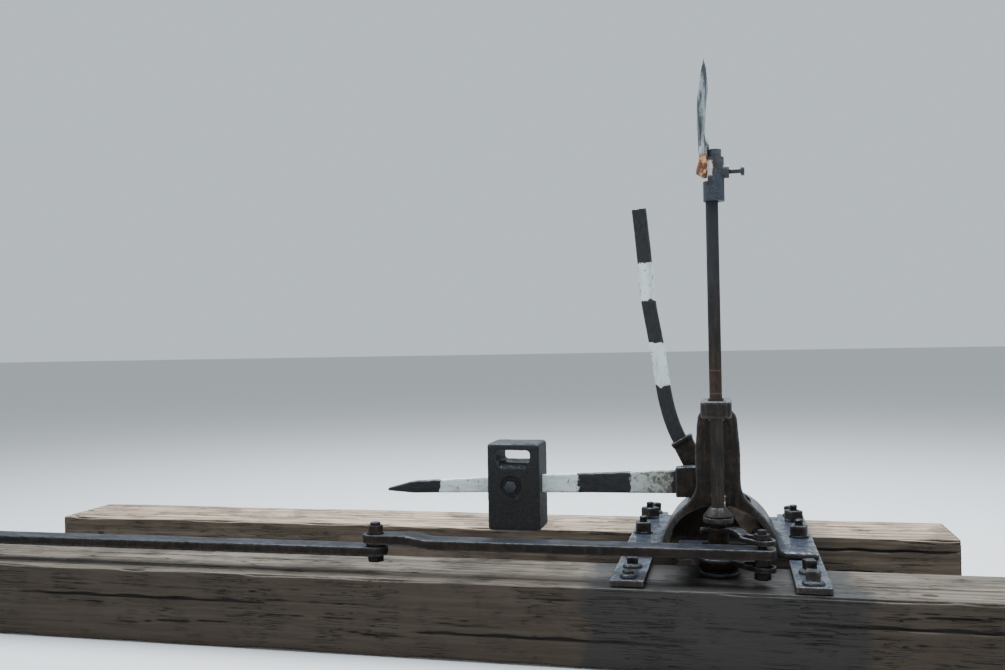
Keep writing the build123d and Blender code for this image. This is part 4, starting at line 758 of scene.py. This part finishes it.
# Machined parts, and the width of their bevels in mm
for node, width in (
    ("axle", 1.5), ("lever_pin", 1.0), ("set_bolt", 1.6), ("crank_bolt", 1.2), ("crank_nut", 1.6),
    ("joint_bolt", 1.4), ("joint_nut", 1.6), ("joint_spacer", 1.0), ("flag_shaft", 1.2),
    ("shaft_skirt", 1.2), ("flag_socket", 1.2), ("clamp_screw", 1.0),
):
    rounded(node, width * MM)


# Main checks of the timbers, where their solids have them: middle along, run, place across, width and
# depth, in mm from the middle of the face
FRONT_TOP_CHECKS = ((-880, 560, 42, 5, 9), (-610, 430, -58, 4, 7), (-60, 520, 74, 5, 8),
                    (330, 380, -20, 4, 7), (1130, 420, -16, 6, 10), (1240, 180, -78, 4, 7))
FRONT_SIDE_CHECKS = ((-760, 700, 22, 5, 8), (250, 620, -28, 5, 8), (1010, 480, 30, 5, 8))
BACK_TOP_CHECKS = ((-960, 500, -46, 5, 9), (-430, 620, 60, 5, 8), (60, 360, -70, 4, 7),
                   (700, 300, 88, 4, 7), (1180, 300, 26, 5, 9))
BACK_SIDE_CHECKS = ((-700, 560, 16, 5, 8), (1150, 390, 55, 6, 9))

# Fineness of a timber's mesh: stations along it, rings in each end, and columns on each face
STATIONS = 500
END_RINGS = 13
TOP_COLUMNS, BACK_COLUMNS, BED_COLUMNS, FRONT_COLUMNS = 92, 22, 8, 46

# Sizes of a timber's wear
ARRIS_RADIUS = 0.009
CHIP_DEPTH = 0.007
GROOVE_SPACING = 0.011
GROOVE_DEPTH = 0.0022
END_SPLIT_DEPTH = 0.012
FINE_CRACKS_ABOVE = 60
FINE_CRACKS_BESIDE = 26

# Depth from which a crack's painted shade is drawn fully dark
DARK_CRACK = 0.004

TINY = 1e-9


def main_checks(table, start, middle):
    """Cracks of a table of main checks, in the form of fine_cracks."""
    return [
        (start + (along - run / 2) * MM, run * MM, middle + place * MM, 0.0, 0.0, width * 0.5 * MM, deep * MM)
        for along, run, place, width, deep in table
    ]


def fine_cracks(seed, count, length, width, place):
    """Random drying cracks along a timber: start, run, place across, slant, wave, half width and depth."""
    random = np.random.default_rng(seed)
    start = random.uniform(-0.05, 1.0, count) * length
    run = random.uniform(0.12, 0.60, count)
    across = random.uniform(-0.46, 0.46, count) * width + place
    slant = random.uniform(-0.008, 0.008, count)
    wave = random.uniform(0, 6.28, count)
    half_width = random.uniform(0.0010, 0.0022, count)
    depth = random.uniform(0.0015, 0.0045, count)
    return list(zip(start, run, across, slant, wave, half_width, depth))


def crack_depth(along, across, cracks):
    """Depth of the deepest crack at each point: a narrow bell across it, a half sine from end to end."""
    deepest = np.zeros_like(along)
    for start, run, middle, slant, wave, half_width, depth in cracks:
        share = np.clip((along - start) / run, 0, 1)
        line = middle + slant * np.sin(3.1 * share + wave) + 0.0012 * np.sin(47 * along + wave)
        bell = np.exp(-((across - line) / half_width) ** 2)
        deepest = np.maximum(deepest, depth * np.sqrt(np.sin(np.pi * share).clip(0, 1)) * bell)
    return deepest


def timber_outline(half_wide, half_high):
    """Points round a timber's section, Y and Z from its middle, and the way out at each.

    The section is a rectangle, its points closer together on the upper and front faces. Those within a
    radius of an arris are drawn onto the arc that rounds it.
    """
    across = np.concatenate([
        np.linspace(-half_wide, half_wide, TOP_COLUMNS), np.full(BACK_COLUMNS, half_wide),
        np.linspace(half_wide, -half_wide, BED_COLUMNS), np.full(FRONT_COLUMNS, -half_wide),
    ])
    up = np.concatenate([
        np.full(TOP_COLUMNS, half_high), np.linspace(half_high, -half_high, BACK_COLUMNS + 2)[1:-1],
        np.full(BED_COLUMNS, -half_high), np.linspace(-half_high, half_high, FRONT_COLUMNS + 2)[1:-1],
    ])
    outline = np.stack([across, up], axis=1)
    limit = np.array([half_wide, half_high]) - ARRIS_RADIUS
    inner = np.clip(outline, -limit, limit)
    out = outline - inner
    reach = np.linalg.norm(out, axis=1, keepdims=True)
    corner = np.all(np.abs(out) > TINY, axis=1)[:, None]
    outline = np.where(corner, inner + out / np.maximum(reach, TINY) * ARRIS_RADIUS, outline)
    outward = np.where(corner, out, np.where(np.abs(out) > TINY, np.sign(out), 0.0))
    outward /= np.maximum(np.linalg.norm(outward, axis=1, keepdims=True), TINY)
    return outline, outward


def make_timber(node, material, seed, top_checks, side_checks):
    """One old timber.

    A rounded rectangle is carried along X. Its points go inwards by stretched lattice noise for the grain,
    by cracks, by wavy grooves on its upright sides, and by chips along its arrises. Both ends close in
    rings of the same rectangle that shrink to the middle, pushed in where they split.
    """
    low, high = (np.array(corner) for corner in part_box(node))
    middle = (low + high) / 2
    length, width, height = high - low
    half_wide, half_high = width / 2, height / 2
    outline, outward = timber_outline(half_wide, half_high)
    ring = np.linspace(0.0, 0.96, END_RINGS)
    stations = np.linspace(low[0], high[0], STATIONS)
    positions = np.concatenate([np.full(END_RINGS, low[0]), stations, np.full(END_RINGS, high[0])])
    columns = len(outline)
    along = np.repeat(positions, columns)
    size = np.repeat(np.concatenate([ring, np.ones(STATIONS), ring[::-1]]), columns)
    outline = np.tile(outline, (len(positions), 1))
    outward = np.tile(outward, (len(positions), 1))
    points = np.stack([along, middle[1] + outline[:, 0] * size, middle[2] + outline[:, 1] * size], axis=1)
    # Grain and cracks
    grain = points * np.array([0.05, 1.0, 1.0])
    depth = 0.0009 * dent_noise(grain, 260.0, seed)
    depth += 0.0016 * dent_noise(grain, 70.0, seed + 1)
    depth += 0.0014 * dent_noise(points, 3.0, seed + 2)
    along_timber = points[:, 0] - low[0]
    above = main_checks(top_checks, length / 2, middle[1])
    above += fine_cracks(seed, FINE_CRACKS_ABOVE, length, width, middle[1])
    in_front = main_checks(side_checks, length / 2, middle[2])
    beside = fine_cracks(seed + 5, FINE_CRACKS_BESIDE, length, height, middle[2])
    upright = np.abs(outward[:, 0]) > 0.5
    split = crack_depth(along_timber, points[:, 1], above) * (outward[:, 1] > 0.5)
    split += crack_depth(along_timber, points[:, 2], in_front) * (outward[:, 0] < -0.5)
    split = np.maximum(split, crack_depth(along_timber, points[:, 2], beside) * upright)
    # Grooves on the upright sides, and chips along the arrises
    waves = lattice_noise(points * np.array([0.35, 1.0, 1.0]), 30.0, seed + 4) * 0.6
    groove = np.abs(np.sin((points[:, 2] / GROOVE_SPACING + waves) * np.pi)) ** 6
    depth += GROOVE_DEPTH * groove * upright * np.clip(lattice_noise(grain, 22.0, seed + 6) + 0.5, 0, 1)
    arris = np.clip(np.clip(1 - np.abs(outward).max(axis=1) / 0.99, 0, 1) * 6, 0, 1)
    chips = np.clip(lattice_noise(points * np.array([0.3, 1, 1]), 40.0, seed + 3) - 0.1, 0, 1)
    depth += CHIP_DEPTH * arris * chips + split
    side = size > 0.999
    points[:, 1] -= np.where(side, outward[:, 0] * depth, 0)
    points[:, 2] -= np.where(side, outward[:, 1] * depth, 0)
    # Ends: rough, with radial splits
    inside = (points[:, 1] - middle[1]) / half_wide, (points[:, 2] - middle[2]) / half_high
    turn = np.arctan2(inside[1] + 0.35, inside[0] - 0.1)
    phase = np.mod(turn * 2.55 + 0.35 * lattice_noise(points, 18.0, seed), 1.0)
    radial = np.exp(-((phase - 0.5) / 0.07) ** 2)
    end_depth = 0.002 + 0.003 * dent_noise(points, 120.0, seed + 9) + END_SPLIT_DEPTH * radial
    points[:, 0] += np.sign(middle[0] - points[:, 0]) * np.where(side, 0.0, end_depth)
    mesh = mesh_of(node + "_wood", points, grid_faces(len(positions), columns, round_columns=True))
    store(mesh, "crack", np.clip(split / DARK_CRACK, 0, 1) + np.where(side, 0, radial * 0.8))
    close_up(mesh)
    add_piece(node + "_wood", mesh, "stand", material, (node,))


make_timber("timber_front", FRONT_WOOD, 5, FRONT_TOP_CHECKS, FRONT_SIDE_CHECKS)
make_timber("timber_back", BACK_WOOD, 17, BACK_TOP_CHECKS, BACK_SIDE_CHECKS)


# Fasteners that stand in the plates and feet
POST_SIDES = 40
POST_DENT = 0.0005
POST_SPACING = 0.003
THREAD_PITCH = 0.0025
WASHER_RADIUS = 0.0245
WASHER_THICKNESS = 0.003
NUT_HALF = 0.0195
NUT_HEIGHT = 0.025
BOLT_RADIUS = 0.0100
SHANK_RADIUS = 0.0095
SHANK_LOW = 0.004


def superellipse(angle, power):
    """Radius of a rounded square, 1 at the middle of its sides; a higher power has sharper corners."""
    return (np.abs(np.cos(angle)) ** power + np.abs(np.sin(angle)) ** power) ** (-1 / power)


def round_plan(angle):
    """Radius of a circle."""
    return np.ones_like(angle)


def square_plan(angle):
    """Radius of a square head or nut."""
    return superellipse(angle, 9)


def stacked(plan, profile, centre, turn=0.0, lean=(0.0, 0.0), thread=None):
    """Points and faces of a post: one plan carried up a profile.

    profile is (radius, height) from the bottom up, thread the lowest height, highest height and depth of a
    screw thread, and lean how far the post leans for each unit of height.
    """
    angle = np.linspace(0, 2 * math.pi, POST_SIDES, endpoint=False)
    radius, height = (np.array(column)[:, None] for column in zip(*profile))
    reach = radius * plan(angle)[None, :]
    height = np.broadcast_to(height, reach.shape)
    if thread is not None:
        low, high, depth = thread
        ridge = np.abs(np.mod(height / THREAD_PITCH + angle[None, :] / (2 * math.pi), 1.0) - 0.5) * 2
        reach = reach - depth * ridge * ((height >= low) & (height <= high))
    across = reach * np.cos(angle + turn)[None, :] + lean[0] * height
    along = reach * np.sin(angle + turn)[None, :] + lean[1] * height
    points = np.stack([across, along, height], axis=-1).reshape(-1, 3) + np.asarray(centre)
    return points, grid_faces(len(profile), POST_SIDES, round_columns=True)


def post_piece(name, posts):
    """Piece made of posts, its poles closed, its arris mask, for worn paint and painted highlight, strongest
    on its arrises.
    """
    starts = np.cumsum([0] + [len(points) for points, _ in posts])
    faces = np.concatenate([faces + start for (_, faces), start in zip(posts, starts)])
    points = np.concatenate([points for points, _ in posts])
    points = points + POST_DENT * lattice_noise(points, 150.0, 4)[:, None]
    mesh = mesh_of(name, points, faces)
    close_up(mesh)
    store(mesh, "arris_share", np.clip(convexity(mesh, POST_SPACING) * 2.0, 0, 1))
    add_piece(name, mesh, "stand", FINISHES["black_steel"], smooth_angle=45)


def nut_profile(half, base, height):
    """Profile of a square nut or head: straight sides, then a worn upper edge."""
    top = base + height
    return [(0, base), (half * 0.99, base), (half, base + 0.001), (half, base + height * 0.5),
            (half, top - 0.004), (half * 0.97, top - 0.0015), (half * 0.88, top), (half * 0.5, top), (0, top)]


def bolt_end(radius, top):
    """Profile of a screwed bolt end with a domed tip, in steps close enough to carry its thread."""
    profile = [(0, 0.0)] + [(radius, height) for height in np.linspace(0.0, top - radius * 0.25, 24)]
    return profile + [(radius * 0.86, top - radius * 0.10), (radius * 0.5, top), (0, top)]


# Bolts through the feet: name, place across and along, turn of the nut, and lean
FRAME_BOLTS = (
    ("frame_bolt_left_front", -0.1965, 0.0105, 0.12, (0.02, 0.0)),
    ("frame_bolt_left_back", -0.1960, 0.2310, 0.70, (-0.03, 0.02)),
    ("frame_bolt_right_front", 0.1935, 0.0130, -0.20, (0.03, 0.0)),
    ("frame_bolt_right_back", 0.1940, 0.2290, 0.42, (0.0, 0.02)),
)
NUT_BASE = FOOT_TOP + WASHER_THICKNESS
BOLT_TOP = FOOT_TOP + 0.043
BOLT_THREAD = (FOOT_TOP + 0.028, FOOT_TOP + 0.041, 0.0009)
WASHER = ((0, FOOT_TOP), (0.024, FOOT_TOP), (WASHER_RADIUS, FOOT_TOP + 0.001),
          (0.024, NUT_BASE), (0, NUT_BASE))
for name, across, along, turn, lean in FRAME_BOLTS:
    place = STAND + np.array([across, along, 0.0])
    post_piece(name, [
        stacked(round_plan, WASHER, place),
        stacked(square_plan, nut_profile(NUT_HALF, NUT_BASE, NUT_HEIGHT), place, turn),
        stacked(round_plan, bolt_end(BOLT_RADIUS, BOLT_TOP), place,
                lean=(lean[0] * 0.3, lean[1] * 0.3), thread=BOLT_THREAD),
    ])


def coach_screw(name, across, along, head, head_height, flange, turn, tilt):
    """Square-headed screw whose flange sits on a plate: a thin dome, then the head with worn edges."""
    place = STAND + np.array([across, along, 0.0])
    dome = [(0, SHANK_LOW), (SHANK_RADIUS, SHANK_LOW), (SHANK_RADIUS, PLATE_TOP), (flange, PLATE_TOP),
            (flange, PLATE_TOP + 0.003), (flange * 0.86, PLATE_TOP + 0.0065),
            (head * 1.1, PLATE_TOP + 0.009), (0, PLATE_TOP + 0.009)]
    post_piece(name, [
        stacked(round_plan, dome, place, lean=tilt),
        stacked(square_plan, nut_profile(head, PLATE_TOP + 0.008, head_height), place, turn, tilt),
    ])


# Screws: place across and along, half width and height of the head, flange's radius, turn and tilt
for name, across, along, head, height, flange, turn, tilt in (
    ("screw_left_near", -0.1955, -0.3990, 0.0105, 0.006, 0.0185, 0.5, (0.04, -0.03)),
    ("screw_left_middle", -0.1945, -0.3005, 0.0125, 0.015, 0.0225, 0.15, (0.0, 0.03)),
    ("screw_left_far", -0.1950, 0.4000, 0.0125, 0.022, 0.0210, 0.6, (0.05, 0.0)),
    ("screw_right_near", 0.1955, -0.3990, 0.0150, 0.020, 0.0240, -0.1, (-0.03, 0.02)),
    ("screw_right_middle", 0.1945, -0.3005, 0.0130, 0.021, 0.0240, 0.3, (0.02, 0.0)),
    ("screw_right_far", 0.1950, 0.4000, 0.0125, 0.020, 0.0210, 0.9, (-0.04, 0.0)),
):
    coach_screw(name, across, along, head, height, flange, turn, tilt)


# Signal board: its outlines from the front and from the side, each as height and distance from the
# shaft's middle, and the heights of its foot and tip, in mm
BOARD_LEFT = ((904, -16), (919, -36), (934, -31), (955, -27), (968, -28), (1021, -30), (1091, -29),
              (1131, -23), (1158, -18), (1183, -12))
BOARD_RIGHT = ((904, -16), (908, -8), (972, -8), (976, -2), (989, -6), (1005, -11), (1032, -11), (1062, -9),
               (1087, -6), (1116, -2), (1131, -3), (1159, -6), (1183, -12))
BOARD_FRONT = ((904, -8), (915, -32), (1040, -28), (1090, -18), (1165, -6), (1183, 1))
BOARD_BACK = ((904, -8), (908, 20), (925, 32), (1010, 30), (1060, 24), (1110, 16), (1150, 4), (1183, 2))
BOARD_FOOT, BOARD_TIP = 904, 1183
BOARD_SECTIONS = 120
BOARD_SIDES = 72

# Height above the timbers up to which the board's foot is ragged, and the depths of its grain and foot
RAGGED_TOP = 0.960
GRAIN_DEPTH = 0.0014
FOOT_DEPTH = 0.004


def make_board():
    """The broken signal board.

    At each height its section is a superellipse of power 5 that fills the rectangle between the board's
    left and right and front and back outlines. Ridges of grain and the ragged foot push its points inwards.
    """
    between = np.linspace(BOARD_FOOT + 1, BOARD_TIP - 1, BOARD_SECTIONS)
    heights = np.concatenate([[BOARD_FOOT], between, [BOARD_TIP]])
    left, right, front, back = (
        np.interp(heights, *zip(*outline)) for outline in (BOARD_LEFT, BOARD_RIGHT, BOARD_FRONT, BOARD_BACK)
    )
    angle = np.linspace(0, 2 * math.pi, BOARD_SIDES, endpoint=False)
    swell = superellipse(angle, 5)
    across = ((left + right) / 2)[:, None] + ((right - left) / 2)[:, None] * (swell * np.cos(angle))[None, :]
    along = ((front + back) / 2)[:, None] + ((back - front) / 2)[:, None] * (swell * np.sin(angle))[None, :]
    up = np.broadcast_to(heights[:, None], across.shape)
    points = np.stack([across, along, up], axis=-1).reshape(-1, 3) * MM
    middle = np.repeat(np.stack([(left + right) / 2, (front + back) / 2], axis=1), BOARD_SIDES, axis=0) * MM
    ridges = dent_noise(points * np.array([1, 1, 0.04]), 420.0, 2)
    ridges += 0.7 * dent_noise(points * np.array([1, 1, 0.05]), 160.0, 3)
    foot = np.clip((RAGGED_TOP - points[:, 2]) / 0.05, 0, 1) * dent_noise(points, 130.0, 5)
    half = np.minimum(np.repeat((right - left) / 2, BOARD_SIDES), 12) * MM
    depth = np.minimum(GRAIN_DEPTH * ridges + FOOT_DEPTH * foot, half * 0.45)
    towards = middle - points[:, :2]
    distance = np.maximum(np.linalg.norm(towards, axis=1, keepdims=True), 1e-6)
    points[:, :2] += towards / distance * np.minimum(depth[:, None], distance)
    points += np.array([STAND_X, SHAFT_Y, TIMBER_TOP])
    faces = grid_faces(len(heights), BOARD_SIDES, round_columns=True)
    mesh = mesh_of("signal_board_wood", points, faces)
    store(mesh, "crack", np.clip((ridges - 1.25) * 3, 0, 1))
    close_up(mesh, fill_ends=True)
    material = FINISHES["board_wood"]
    add_piece("signal_board_wood", mesh, "flag", material, ("signal_board",), smooth_angle=50)


make_board()


# Studio
FLOOR_COLOUR = (0.60, 0.60, 0.60, 1.0)
FLOOR_REACH = 60.0
SKY_COLOUR = (0.80, 0.89, 0.96, 1.0)
SKY_STRENGTH = 0.80

# Panels of light: name, size, watts, colour, place, and tilt in degrees from facing down
PANELS = (
    ("panel", (4.6, 3.2), 520, (0.84, 0.93, 1.0), (0.3, 0.5, 3.4), 0.0),
    ("front_panel", (3.0, 1.6), 20, (1.0, 0.93, 0.85), (0.5, -3.4, 0.9), 84.0),
)


def make_studio():
    """Pale floor, pale sky all round, a cool panel overhead and a weak warm one low in front."""
    ends = np.linspace(-FLOOR_REACH, FLOOR_REACH, 3)
    across, along = np.meshgrid(ends, ends)
    points = np.stack([across, along, np.zeros_like(across)], axis=-1).reshape(-1, 3)
    floor = bpy.data.objects.new("floor", mesh_of("floor", points, grid_faces(3, 3)))
    bpy.context.scene.collection.objects.link(floor)
    floor.data.materials.append(Paint("pale_floor").surface(FLOOR_COLOUR, 0.9, specular=0.1))
    world = bpy.data.worlds.new("studio")
    world.use_nodes = True
    background = world.node_tree.nodes["Background"]
    background.inputs["Color"].default_value = SKY_COLOUR
    background.inputs["Strength"].default_value = SKY_STRENGTH
    bpy.context.scene.world = world
    for name, size, energy, colour, place, tilt in PANELS:
        panel = bpy.data.lights.new(name, "AREA")
        panel.shape = "RECTANGLE"
        panel.size, panel.size_y = size
        panel.energy = energy
        panel.color = colour
        hung = bpy.data.objects.new(name, panel)
        hung.location = place
        hung.rotation_euler = (math.radians(tilt), 0.0, 0.0)
        bpy.context.scene.collection.objects.link(hung)


make_studio()
